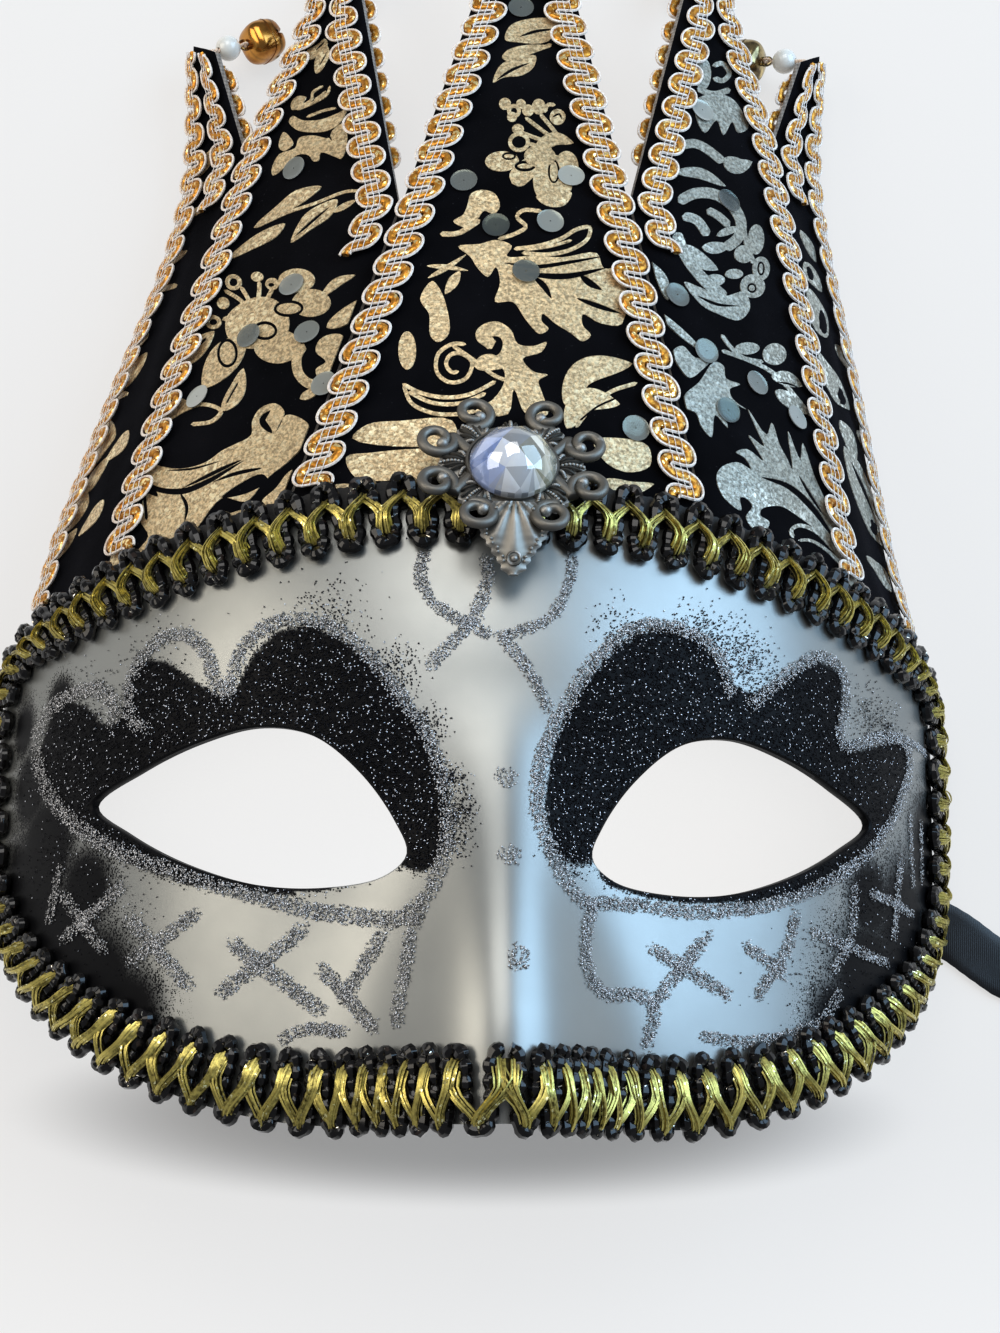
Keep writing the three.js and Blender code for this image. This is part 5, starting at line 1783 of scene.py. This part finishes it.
class MASK_OT_foil(bpy.types.Operator):
    """Foil ornament on the crown's velvet, and the sequins sewn over it."""

    bl_idname = "mask.foil"
    bl_label = "Foil and sequins"

    def execute(self, context):
        look, sizes = context.scene.mask_finish, context.scene.mask_sizes
        gold = foil("gold_foil", look.gold_foil, (1.0, 0.9, 0.62))
        silver = foil("silver_foil", look.silver_foil, (0.95, 0.95, 0.86))
        film = sequin_film()
        for name, text in foil_charts.items():
            shape = Shape()
            self.print_foil(shape, panels[name], chart_outlines(text), sizes.foil / MM)
            metal = silver if name.endswith("right") else gold
            shape.build("crown_foil_" + name, [metal], smooth=50, slot="velvet")
        shape = Shape()
        rng = np.random.default_rng(5)
        for name, text in sequin_chart.items():
            self.sew(shape, panels[name], pairs(numbers(text)), sizes.sequin / MM / 2, rng)
        shape.build("crown_sequins", [film], smooth=30, slot="velvet")
        return {"FINISHED"}

    def print_foil(self, shape, panel, outlines, thickness):
        """Joins the outlines, less the cuts, into one low sheet that follows the cloth."""
        corners, loops = [], []
        for ring, _ in outlines:
            loops.append(list(range(len(corners), len(corners) + len(ring))))
            corners.extend(map(tuple, ring))
        everything = np.array(corners)
        low, high = everything.min(0), everything.max(0)
        grid = np.stack(np.meshgrid(np.arange(low[0], high[0], 17), np.arange(low[1], high[1], 15)),
                        -1).reshape(-1, 2)
        corners.extend(map(tuple, grid + 0.37))
        points, _, faces, *_ = delaunay_2d_cdt([Vector(c) for c in corners], [], loops, 0, 0.01, True)
        points = np.array([tuple(p) for p in points])
        faces = np.array([face for face in faces if len(face) == 3])
        middles = points[faces].mean(1)
        kept = np.zeros(len(faces), bool)
        for ring, cuts in outlines:
            kept[inside(middles, ring)] = not cuts
        u, v = panel.found(points)
        past_edge = np.abs(u - 0.5) > foil_reach
        kept &= ~past_edge[faces].all(1)
        used, faces = np.unique(faces[kept], return_inverse=True)
        faces = faces.reshape(-1, 3)
        u, v = np.clip(u[used], 0.5 - foil_reach, 0.5 + foil_reach), v[used]
        top = panel.at(u, v, panel_ripple(panel, u, v) + thickness)
        under = panel.at(u, v, panel_ripple(panel, u, v) - thickness)
        if np.cross(*(top[faces[0, 1:]] - top[faces[0, 0]])) @ panel.normal(u[:1], v[:1])[0] < 0:
            faces = faces[:, ::-1]
        edges = np.concatenate([faces[:, [0, 1]], faces[:, [1, 2]], faces[:, [2, 0]]])
        order = {tuple(edge) for edge in edges.tolist()}
        rim = np.array([(a, b) for a, b in edges.tolist() if (b, a) not in order])
        count = len(used)
        walls = np.stack([rim[:, 1], rim[:, 0], rim[:, 0] + count, rim[:, 1] + count], 1)
        shape.add(np.concatenate([top, under]), [faces, faces[:, ::-1] + count, walls])

    def sew(self, shape, panel, pixels, radius, rng):
        u, v = panel.found(pixels)
        places = panel.at(u, v, panel_ripple(panel, u, v) + 0.42)
        step = 0.01
        along = panel.at(u, v + step) - panel.at(u, v - step)
        level = np.cross(panel.at(u + step, v) - panel.at(u - step, v), along)
        normals = unit(unit(level) + rng.normal(0, 0.05, (len(u), 3)))
        for place, normal in zip(places, normals):
            right = unit(np.cross([0, 1, 0], normal))
            up = np.cross(normal, right)
            angle = np.arange(36) / 36 * 2 * math.pi
            ring = right * np.cos(angle)[:, None] + up * np.sin(angle)[:, None]
            profile = [(0.05, -0.08), (0.05, 0.04), (0.6, 0.02), (0.93, 0.05), (1, 0.1), (0.99, -0.03),
                       (0.6, -0.1)]
            rows = np.stack([place + ring * radius * r + normal * z for r, z in profile + profile[:1]])
            shape.add(rows, grid_faces(len(rows), 36, True))


class MASK_OT_glitter(bpy.types.Operator):
    """Silver and black glitter glued to the face."""

    bl_idname = "mask.glitter"
    bl_label = "Glitter"

    def execute(self, context):
        side = context.scene.mask_sizes.flake / MM
        rng = np.random.default_rng(11)
        silver, black = [], []
        for line in silver_lines.strip().splitlines():
            width, *values = numbers(line)
            path = Route(centripetal(face_at(pairs(values)), each=12))
            count = int(path.length * width * 17.5) + 30
            share = rng.uniform(0, 1, count)
            p = path.at(share)
            p = p + rng.normal(0, 0.12, (count, 3)) + self.disc(rng, count) * width / 2
            silver.append(p)
        for line in black_patches.strip().splitlines():
            ring = pairs(numbers(line))
            smooth = centripetal(ring, closed=True, each=6)
            low, high = smooth.min(0) - 12, smooth.max(0) + 12
            pixels = rng.uniform(low, high, (int(np.prod(high - low) * 0.27), 2))
            close = inside(pixels + rng.normal(0, 4, pixels.shape), smooth)
            black.append(face_at(pixels[close]))
        for line in black_dust.strip().splitlines():
            x, y, spread, count = numbers(line)
            centre = face_at(np.array([[x, y]]))
            black.append(centre + rng.normal(0, spread, (int(count), 3)))
        self.glue("silver_glitter", np.concatenate(silver), side, rng, 0.14,
                  glitter("silver_glitter", (0.1, 0.1, 0.1), (1.0, 0.99, 0.99), 0.6, 0.16), "silver")
        self.glue("black_glitter", np.concatenate(black), side * 0.9, rng, 0.06,
                  black_glitter(), None)
        return {"FINISHED"}

    def disc(self, rng, count):
        angle, reach = rng.uniform(0, 2 * math.pi, count), np.sqrt(rng.uniform(0, 1, count))
        return np.stack([reach * np.cos(angle), reach * np.sin(angle), 0 * angle], -1)

    def glue(self, name, places, side, rng, lift, material, slot):
        """Low three-sided grains on the face, none over the eye openings or past the trim."""
        x, y = places[:, 0], places[:, 1]
        rim = np.concatenate([outline.points, outline.points[::-1] * [-1, 1]]) * 0.985
        kept = outside_eyes(x, y, 0.35) & inside(places[:, :2], rim)
        x, y = x[kept], y[kept]
        count = len(x)
        flat = face_normal(x, y)
        normal = unit(flat + rng.normal(0, 0.22, (count, 3)))
        right = unit(np.cross(normal, rng.normal(0, 1, (count, 3))))
        up = np.cross(normal, right)
        middle = on_face(x, y) + flat * (lift + rng.uniform(0, 0.12, (count, 1)))
        size = side * rng.uniform(0.38, 0.72, (count, 1))
        corners = [middle + (right * math.cos(a) + up * math.sin(a)) * size for a in (0, 2.094, 4.189)]
        peak = middle + normal * 0.07 + right * size * 0.3
        points = np.stack([*corners, peak], 1).reshape(-1, 3)
        first = np.arange(count)[:, None] * 4
        faces = np.concatenate([first + part for part in ([0, 1, 3], [1, 2, 3], [2, 0, 3], [2, 1, 0])])
        shape = Shape()
        shape.add(points, faces)
        shape.build(name, [material], smooth=None, slot=slot)


# Where across its tip each point holds its bell's thread, as a share of the tip's width
thread_shares = {"outer_left": 0.75, "inner_left": 0.5, "middle": 0.5, "inner_right": 0.5, "outer_right": 0.25}


class MASK_OT_bells(bpy.types.Operator):
    """The pearl, thread and bell at each tip."""

    bl_idname = "mask.bells"
    bl_label = "Pearls and bells"

    def execute(self, context):
        look = context.scene.mask_finish
        warm = brass("orange_brass", (0.62, 0.3, 0.06), (0.3, 0.12, 0.02))
        olive = brass("olive_brass", (0.5, 0.4, 0.2), (0.12, 0.09, 0.05))
        # The bell's inside takes near-black brass as painted shade.
        dark = brass("bell_inside_painted_shade", (0.06, 0.04, 0.02), (0.02, 0.015, 0.01))
        pearl, yarn = pearl_coat(look), spun_thread("peach_loop_thread", (0.86, 0.7, 0.56), (0.6, 0.42, 0.3))
        for name, panel in panels.items():
            bead, bell = (self.centre(f"{kind}_{name}") for kind in ("pearl", "bell"))
            axis = unit(bell - bead)
            self.bead(name, bead, axis, pearl)
            self.bell(name, bell, axis, olive if name.endswith("right") else warm, dark)
            self.thread(name, panel, bead, bell, axis, yarn)
        return {"FINISHED"}

    def centre(self, node):
        low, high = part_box(node)
        return np.array((low + high) / 2) / MM + origin

    def frame(self, axis):
        right = unit(np.cross(axis, [0.3, 0.1, 1]))
        return right, np.cross(right, axis)

    def turned(self, centre, axis, profile, sides=36, around=None):
        """Rows of points of a lathed profile (radius, place along the axis)."""
        right, up = self.frame(axis)
        angle = np.arange(sides) / sides * 2 * math.pi if around is None else around
        rows = []
        for radius, along in profile:
            ring = right * np.cos(angle)[:, None] + up * np.sin(angle)[:, None]
            rows.append(centre + ring * radius + axis * along)
        return np.stack(rows)

    def bead(self, name, centre, axis, pearl):
        polar = np.linspace(0.24, math.pi - 0.24, 26)
        profile = [(2.2 * math.sin(a), -2.2 * math.cos(a)) for a in polar]
        profile += [(0.46, 2.05), (0.46, -2.05), profile[0]]
        shape = Shape()
        shape.add(self.turned(centre, axis, profile, 40), grid_faces(len(profile), 40, True))
        shape.build("pearl_" + name, [pearl], slot="pearl", replaces=["pearl_" + name], merge=0.002)

    def bell(self, name, centre, axis, metal, painted_shade_metal):
        """A jingle bell with a cross slit at its far end and a wire loop at its near end."""
        shape = Shape()
        radius, wall, slit = 3.7, 0.45, 0.5
        right, up = self.frame(axis)

        def skin(polar, around, size):
            x, y, z = np.sin(polar) * np.cos(around), np.sin(polar) * np.sin(around), np.cos(polar)
            squareness = 3.6
            total = np.abs(x) ** squareness + np.abs(y) ** squareness + np.abs(z) ** squareness
            power = total ** (-1 / squareness)
            reach = size * mix(1.0, power, 0.75) * 0.95
            shares = [(way * reach)[..., None] for way in (x, y, z)]
            return centre + (right * shares[0] + up * shares[1] + axis * shares[2])

        open_to = 1.25
        for quarter in range(4):
            polar = np.linspace(0.13, open_to, 11)[:, None]
            margin = np.arcsin(np.clip(slit / (radius * np.sin(polar)), 0, 0.98)) * np.ones((1, 1))
            margin = np.minimum(margin, math.pi / 4 - 0.05)
            share = np.linspace(0, 1, 10)[None]
            around = quarter * math.pi / 2 + mix(margin, math.pi / 2 - margin, share)
            polar = polar * np.ones_like(around)
            shape.slab(skin(polar, around, radius)[::-1], skin(polar, around, radius - wall)[::-1], 0, 0)
        polar, around = np.meshgrid(np.linspace(open_to, math.pi - 0.1, 20),
                                    np.linspace(0, 2 * math.pi, 49), indexing="ij")
        # The inner skin of the lower half takes the near-black brass: painted shade inside the bell.
        shape.slab(skin(polar, around, radius)[::-1], skin(polar, around, radius - wall)[::-1], 0, 1)
        seam = skin(np.full(49, 1.571), np.linspace(0, 2 * math.pi, 49), radius)[:-1]
        shape.tubes(seam, unit(seam - centre), 0.1, 5, closed=True)
        turn = np.arange(24) / 24 * 2 * math.pi
        middle = centre - axis * (radius + 0.45)
        loop = middle + right * 0.85 * np.cos(turn)[:, None] + axis * 0.85 * np.sin(turn)[:, None]
        shape.tubes(loop, up, 0.3, 8, closed=True)
        shape.build("bell_" + name, [metal, painted_shade_metal], slot="bell", replaces=["bell_" + name])

    def thread(self, name, panel, bead, bell, axis, yarn):
        root = panel.at(np.array([thread_shares[name]]), np.array([1.0]), -1.0)[0]
        right, up = self.frame(axis)
        shape = Shape()
        hang = bell - axis * 4.3
        middle = Route(centripetal([root - (bead - root) * 0.1, bead, hang])).spaced(0.12)
        along = np.linspace(0, 1, len(middle))
        twist = along * Route(middle).length / 1.6 * 2 * math.pi
        for start in (0, math.pi):
            swing = right * np.cos(twist + start)[:, None] + up * np.sin(twist + start)[:, None]
            shape.tubes(middle + swing * 0.2, right, 0.22, 7)
        turn = np.arange(30) / 30 * 2 * math.pi
        loop = hang + up * 0.75 * np.cos(turn)[:, None] + axis * 0.75 * np.sin(turn)[:, None]
        shape.tubes(loop, right, 0.24, 7, closed=True)
        shape.build("thread_" + name, [yarn], slot="gimp", replaces=["thread_" + name])


class MASK_OT_brooch(bpy.types.Operator):
    """The pewter brooch over the brow, with its faceted stone."""

    bl_idname = "mask.brooch"
    bl_label = "Brooch"

    tilt = -0.52

    def placed(self, points, bend=0.0, hinge=(0, 0, 0)):
        """From the brooch's own axes to the face's."""
        points = np.asarray(points, float)
        if bend:
            points = self.rolled(points - hinge, bend) + hinge
        start = on_face(0.0, face_top) + face_normal(np.array(0.0), np.array(face_top)) * 3.2
        start = np.array([1.1, start[1], start[2]])
        return start + self.rolled(points + [0, 0.6, 0.7], self.tilt)

    def rolled(self, points, angle):
        c, s = math.cos(angle), math.sin(angle)
        return np.stack([points[..., 0], c * points[..., 1] - s * points[..., 2],
                         s * points[..., 1] + c * points[..., 2]], -1)

    def ball(self, shape, centre, radius, bend=0.0, hinge=(0, 0, 0)):
        polar, around = np.meshgrid(np.linspace(0.02, math.pi - 0.02, 7),
                                    np.arange(10) / 10 * 2 * math.pi, indexing="ij")
        ring = np.stack([np.sin(polar) * np.cos(around), np.sin(polar) * np.sin(around), -np.cos(polar)], -1)
        points = self.placed(ring * radius + np.array(centre), bend, hinge)
        shape.add(points, [grid_faces(7, 10, True), np.arange(10)[None, ::-1], (np.arange(10) + 60)[None]])

    def rod(self, shape, path, radius, sides=10, bend=0.0, hinge=(0, 0, 0), flat=1.0):
        path = self.placed(path, bend, hinge)
        up = self.rolled(np.array([0, 0, 1.0]), self.tilt + bend)
        shape.tubes(path, up, radius, sides, flat=flat)

    def execute(self, context):
        look = context.scene.mask_finish
        shape = Shape()
        angle = np.arange(72) / 72 * 2 * math.pi
        profile = [(8.3, 0), (8.5, 0.5), (8.2, 1.0), (7.1, 1.15), (6.9, 1.9), (6.55, 1.95), (6.3, 1.2),
                   (0.2, 1.0), (0.2, 0), (8.3, 0)]
        rows = np.stack([np.stack([r * np.cos(angle), r * np.sin(angle), 0 * angle + z], -1) for r,
                         z in profile])
        shape.add(self.placed(rows), grid_faces(len(rows), 72, True)[:, ::-1])
        for x, y in ((11.2, 4.4), (5.5, 10.3)):
            for way_x in (-1, 1):
                for way_y in (-1, 1):
                    self.scroll(shape, np.array([x * way_x, y * way_y]), way_x * way_y * (1 if x > y else -1))
        self.fans(shape)
        self.leaf(shape)
        metal = pewter(look)
        shape.build("brooch_casting", [metal], slot="pewter", replaces=["brooch"])
        self.stone(look)
        return {"FINISHED"}

    def scroll(self, shape, centre, hand):
        towards = math.atan2(-centre[1], -centre[0])
        share = np.linspace(0, 1, 44)
        angle = towards - hand * 0.9 + hand * share * 2 * math.pi * 1.2
        reach = mix(2.75, 1.25, share**1.2)
        path = np.stack([centre[0] + reach * np.cos(angle), centre[1] + reach * np.sin(angle),
                         0.75 + 0.85 * np.sin(share * math.pi * 0.75)], -1)
        root = centre * (6.4 / np.linalg.norm(centre))
        path = np.concatenate([[[root[0], root[1], 0.9]], path])
        thick = np.concatenate([[0.75], mix(0.95, 0.72, share)])
        smooth = Route(centripetal(path, each=3))
        size = np.interp(np.linspace(0, 1, 90), np.linspace(0, 1, len(thick)), thick)
        self.rod(shape, smooth.at(np.linspace(0, 1, 90)), size[None], 12)
        end = path[-1]
        self.ball(shape, (end[0], end[1], end[2] + 0.1), 0.95)

    def fans(self, shape):
        """Ribs and rows of beads between the scrolls."""
        for middle in (0.0, math.pi, 0.83, math.pi - 0.83, -0.83, math.pi + 0.83, math.pi / 2):
            far = 9.0 if middle == math.pi / 2 else 10.8
            u = np.linspace(-1, 1, 29)
            t = np.linspace(0, 1, 12)[:, None]
            rim = far - 2.2 * u**2 + 0.2 * np.cos(u * 6 * math.pi)
            r = mix(6.4, rim, t)
            turn = middle + u * mix(0.3, 0.34, t)
            z = 1.25 - 0.35 * t**3 - 0.25 * u**2
            top = np.stack([r * np.cos(turn), r * np.sin(turn), z], -1)
            under = np.stack([r * np.cos(turn), r * np.sin(turn), 0 * z + 0.1], -1)
            shape.slab(self.placed(top)[::-1], self.placed(under)[::-1])
            for k in range(-3, 4):
                reach = 10.6 - 0.28 * k * k - (1.6 if middle == math.pi / 2 else 0)
                t = np.linspace(0, 1, 8)
                bend = middle + k * 0.05 * (1 + t * 0.9)
                r = mix(6.9, reach, t)
                path = np.stack([r * np.cos(bend), r * np.sin(bend), 1.15 + 0.5 * np.sin(t * math.pi)], -1)
                if k % 3:
                    self.rod(shape, path, 0.24, 6)
                else:
                    for p in path[1:]:
                        self.ball(shape, p, 0.3)

    def leaf(self, shape):
        hinge = np.array([0, -10.3, 0])
        bend = -self.tilt
        t = np.linspace(0, 1, 40)
        half = np.interp(t, [0, 0.15, 0.3, 0.42, 0.6, 0.8, 0.93, 1], [3.0, 3.8, 4.7, 5.0, 3.7, 2.3, 1.6, 0.7])
        half = half + 0.2 * np.sin(t * 2 * math.pi * 9)
        u = np.linspace(-1, 1, 31)
        x = half[:, None] * u
        y = -10.3 + mix(2.6, -8.2, t)[:, None] + 0 * x
        fan = np.arctan2(x, -(y + 6.6))
        ribs = 0.2 * np.cos(fan * 15) * smoothstep(1 - t, 0.1, 0.45)[:, None]
        z = 0.9 + 0.75 * (1 - u**2)[None] * (0.6 + 0.4 * np.sin(t * math.pi))[:, None] + ribs
        top = self.placed(np.stack([x, y, z], -1), bend, hinge)
        under = self.placed(np.stack([x, y, 0 * z + 0.15], -1), bend, hinge)
        shape.slab(top[::-1], under[::-1])
        for way in (-1, 1):
            for k in range(13):
                share = 0.1 + 0.06 * k
                width = np.interp(share, t, half)
                place = (way * (width - 0.75), -10.3 + mix(2.6, -8.2, share), 1.5)
                self.ball(shape, place, 0.27, bend, hinge)
        angle = np.arange(20) / 20 * 2 * math.pi
        boss = np.stack([0.95 * np.cos(angle), -10.3 - 5.9 + 0.95 * np.sin(angle), 0 * angle + 1.65], -1)
        up = self.rolled(np.array([0, 0, 1.0]), self.tilt + bend)
        shape.tubes(self.placed(boss, bend, hinge), up, 0.22, 7, closed=True)
        self.ball(shape, (0, -16.2, 1.5), 0.6, bend, hinge)

    def stone(self, look):
        """A dome cut chequerwise, over a mirror cup."""
        radius, height, base = 6.45, 6.9, 1.5
        made = bmesh.new()
        cell = 2.9
        turn = math.pi / 4 + 0.12
        for i in range(-5, 6):
            for j in range(-5, 6):
                p = np.array([(i + 0.5) * cell, (j + 0.5) * cell])
                p = np.array([p[0] * math.cos(turn) - p[1] * math.sin(turn),
                              p[0] * math.sin(turn) + p[1] * math.cos(turn)])
                reach = np.hypot(*p)
                if reach < radius - 0.25:
                    made.verts.new((p[0], p[1], 1.7 + (height - 1.7) * (1 - (reach / radius) ** 2.5)))
        for k in range(40):
            angle = k / 40 * 2 * math.pi
            for level, size in ((1.5, radius), (0.5, radius), (0, radius - 0.35)):
                made.verts.new((size * math.cos(angle), size * math.sin(angle), level))
        hull = bmesh.ops.convex_hull(made, input=made.verts)
        loose = [item for item in hull["geom_interior"] if isinstance(item, bmesh.types.BMVert)]
        bmesh.ops.delete(made, geom=loose, context="VERTS")
        bmesh.ops.dissolve_limit(made, angle_limit=math.radians(7), verts=made.verts, edges=made.edges)
        made.verts.index_update()
        points = np.array([tuple(v.co) for v in made.verts])
        shape = Shape()
        moved = self.placed(points + [0, -1.2, base])
        shape.add(moved, [np.array([[v.index for v in face.verts]]) for face in made.faces])
        made.free()
        shape.build("cut_stone", [clear_stone(look)], smooth=None, slot="stone", replaces=["brooch_stone"])
        cup = Shape()
        rng = np.random.default_rng(3)
        facets, rings = 16, ((6.0, 0.75), (4.2, 0.25), (2.2, 0.12))
        for (outer, high), (inner, low) in zip(rings, rings[1:] + ((0.3, 0.05),)):
            for k in range(facets):
                a, b = (2 * math.pi * (k + d) / facets for d in (0, 1))
                quad = [(outer * math.cos(a), outer * math.sin(a), high),
                        (outer * math.cos(b), outer * math.sin(b), high),
                        (inner * math.cos(b), inner * math.sin(b), low), (inner * math.cos(a),
                                                                          inner * math.sin(a), low)]
                quad = np.array(quad) + [0, 0, rng.uniform(0, 0.25)]
                top = self.placed(quad + [0, -1.2, base - 0.05])
                bottom = self.placed(quad + [0, -1.2, base - 0.25])
                ring = np.arange(4)
                sides = np.stack([ring, (ring + 1) % 4, (ring + 1) % 4 + 4, ring + 4], 1)[:, ::-1]
                cup.add(np.concatenate([top, bottom]), [np.array([[0, 1, 2, 3], [7, 6, 5, 4]]), sides])
        cup.build("mirror_cup", [stone_foil()], smooth=None, slot="stone")


# A tie's route on the right: glued inside the temple, out under the edge and along the table
tie_route = [
    (70, -9, 17), (72.6, -9.3, 9), (75, -10, 3), (79, -11.2, 0.9), (84, -13.8, 0.7), (89, -17.3, 0.7),
    (93.5, -20, 0.7), (98, -20.5, 0.7), (101.5, -17.5, 0.7), (103.5, -12, 0.7), (104.5, -2, 0.7), (105, 12, 0.7),
    (104, 28, 0.7), (102, 44, 0.7), (101, 60, 0.7), (102, 76, 0.7), (104, 92, 0.7), (106, 107, 0.7),
]
tie_width, tie_thickness = 9.0, 0.5


class MASK_OT_ties(bpy.types.Operator):
    """The two satin ties, glued inside the temples and laid along the table."""

    bl_idname = "mask.ties"
    bl_label = "Satin ties"

    def execute(self, context):
        cloth = satin(context.scene.mask_finish)
        for side, name in ((-1, "left"), (1, "right")):
            route = np.array(tie_route, float) * [side, 1, 1]
            route[:, 2] = np.maximum(route[:, 2], tie_thickness / 2 + 0.25)
            path = Route(centripetal(route)).spaced(1.0)
            share = np.linspace(0, 1, len(path))
            tangent = unit(np.gradient(path, axis=0))
            standing = smoothstep(share, 0.02, 0.1)[:, None]
            flat = np.stack([-tangent[:, 1] * side, tangent[:, 0] * side, 0 * share], -1)
            across = mix(np.array([0, 1.0, 0]), flat, standing)
            across = unit(across - tangent * (across * tangent).sum(1, keepdims=True))
            out = unit(np.cross(tangent, across))
            columns = np.linspace(-1, 1, 13)
            wave = 0.12 * np.sin(share * 60)[:, None] * columns**3
            picot = 1 + 0.012 * (np.arange(len(path)) % 2)[:, None]
            base = path[:, None] + across[:, None] * (columns * tie_width / 2 * picot)[..., None]
            base = base + out[:, None] * wave[..., None]
            thick = (tie_thickness / 2 * np.sqrt(1 - 0.96 * np.abs(columns) ** 8))[None, :, None]
            shape = Shape()
            shape.slab(base + out[:, None] * thick, base - out[:, None] * thick)
            below(shape, table)
            piece = shape.build("satin_tie_" + name, [cloth], slot="satin", replaces=["tie_" + name],
                                merge=0.0001)
        return {"FINISHED"}


class MASK_OT_camera(bpy.types.Operator):
    """The camera at the photograph's place."""

    bl_idname = "mask.camera"
    bl_label = "Camera"

    def execute(self, context):
        data = bpy.data.cameras.new("photo_camera")
        data.sensor_width = 36.0
        data.lens = focal_pixels / photo_height * data.sensor_width
        data.clip_start, data.clip_end = 0.01, 20
        camera = bpy.data.objects.new("photo_camera", data)
        context.scene.collection.objects.link(camera)
        right, up, back = camera_axes()
        turned = Matrix(np.stack([right, up, back], 1).tolist()).to_4x4()
        camera.matrix_world = Matrix.Translation(Vector(to_part(camera_place))) @ turned
        context.scene.camera = camera
        return {"FINISHED"}


class MASK_OT_stage(bpy.types.Operator):
    """A pale floor and soft studio light."""

    bl_idname = "mask.stage"
    bl_label = "Stage"

    def execute(self, context):
        mesh = bpy.data.meshes.new("floor")
        half = 3.0
        mesh.from_pydata([(-half, -half, 0), (half, -half, 0), (half, half, 0), (-half, half, 0)], [],
                         [(0, 1, 2, 3)])
        mesh.materials.append(stage_floor(context.scene.mask_finish))
        floor = bpy.data.objects.new("floor", mesh)
        floor.location.z = -0.0002
        context.scene.collection.objects.link(floor)
        world = bpy.data.worlds.new("studio")
        world.use_nodes = True
        world.node_tree.nodes["Background"].inputs["Color"].default_value = (0.9, 0.93, 1.0, 1)
        world.node_tree.nodes["Background"].inputs["Strength"].default_value = 0.32
        context.scene.world = world
        context.scene.view_settings.view_transform = "Standard"
        context.scene.view_settings.gamma = 0.84
        self.light("overhead_soft", (-0.12, 0.48, 0.85), (0, 0.02, 0), 0.6, 3.9, (1.0, 0.98, 0.95))
        self.light("cool_window", (0.7, 0.26, 0.56), (0.02, 0, 0.03), 0.85, 9.6, (0.5, 0.74, 1.0))
        self.light("warm_side", (-0.66, 0.12, 0.46), (-0.02, 0.02, 0.03), 0.5, 2.5, (1.0, 0.93, 0.82))
        return {"FINISHED"}

    def light(self, name, place, towards, size, power, colour):
        data = bpy.data.lights.new(name, "AREA")
        data.size, data.energy, data.color = size, power, colour
        lamp = bpy.data.objects.new(name, data)
        lamp.location = place
        lamp.rotation_euler = (Vector(towards) - Vector(place)).to_track_quat("-Z", "Y").to_euler()
        bpy.context.scene.collection.objects.link(lamp)


steps = [
    MASK_OT_camera, MASK_OT_ties, MASK_OT_stage, MASK_OT_face, MASK_OT_glitter, MASK_OT_trim, MASK_OT_crown,
    MASK_OT_foil, MASK_OT_gimp, MASK_OT_bells, MASK_OT_brooch,
]


class MASK_PT_sidebar(bpy.types.Panel):
    """Lists the steps of the mask in the sidebar."""

    bl_idname = "MASK_PT_sidebar"
    bl_label = "Jester mask"
    bl_space_type = "VIEW_3D"
    bl_region_type = "UI"
    bl_category = "Mask"

    def draw(self, context):
        for step in steps:
            self.layout.operator(step.bl_idname)
        for settings in (context.scene.mask_finish, context.scene.mask_sizes):
            for name in settings.__annotations__:
                self.layout.prop(settings, name)


classes = [MaskFinish, MaskSizes, *steps, MASK_PT_sidebar]


def register():
    for item in classes:
        bpy.utils.register_class(item)
    bpy.types.Scene.mask_finish = bpy.props.PointerProperty(type=MaskFinish)
    bpy.types.Scene.mask_sizes = bpy.props.PointerProperty(type=MaskSizes)


def unregister():
    del bpy.types.Scene.mask_sizes
    del bpy.types.Scene.mask_finish
    for item in reversed(classes):
        bpy.utils.unregister_class(item)


def main():
    register()
    for step in steps:
        area, name = step.bl_idname.split(".")
        getattr(getattr(bpy.ops, area), name)()


if __name__ == "__main__":
    main()
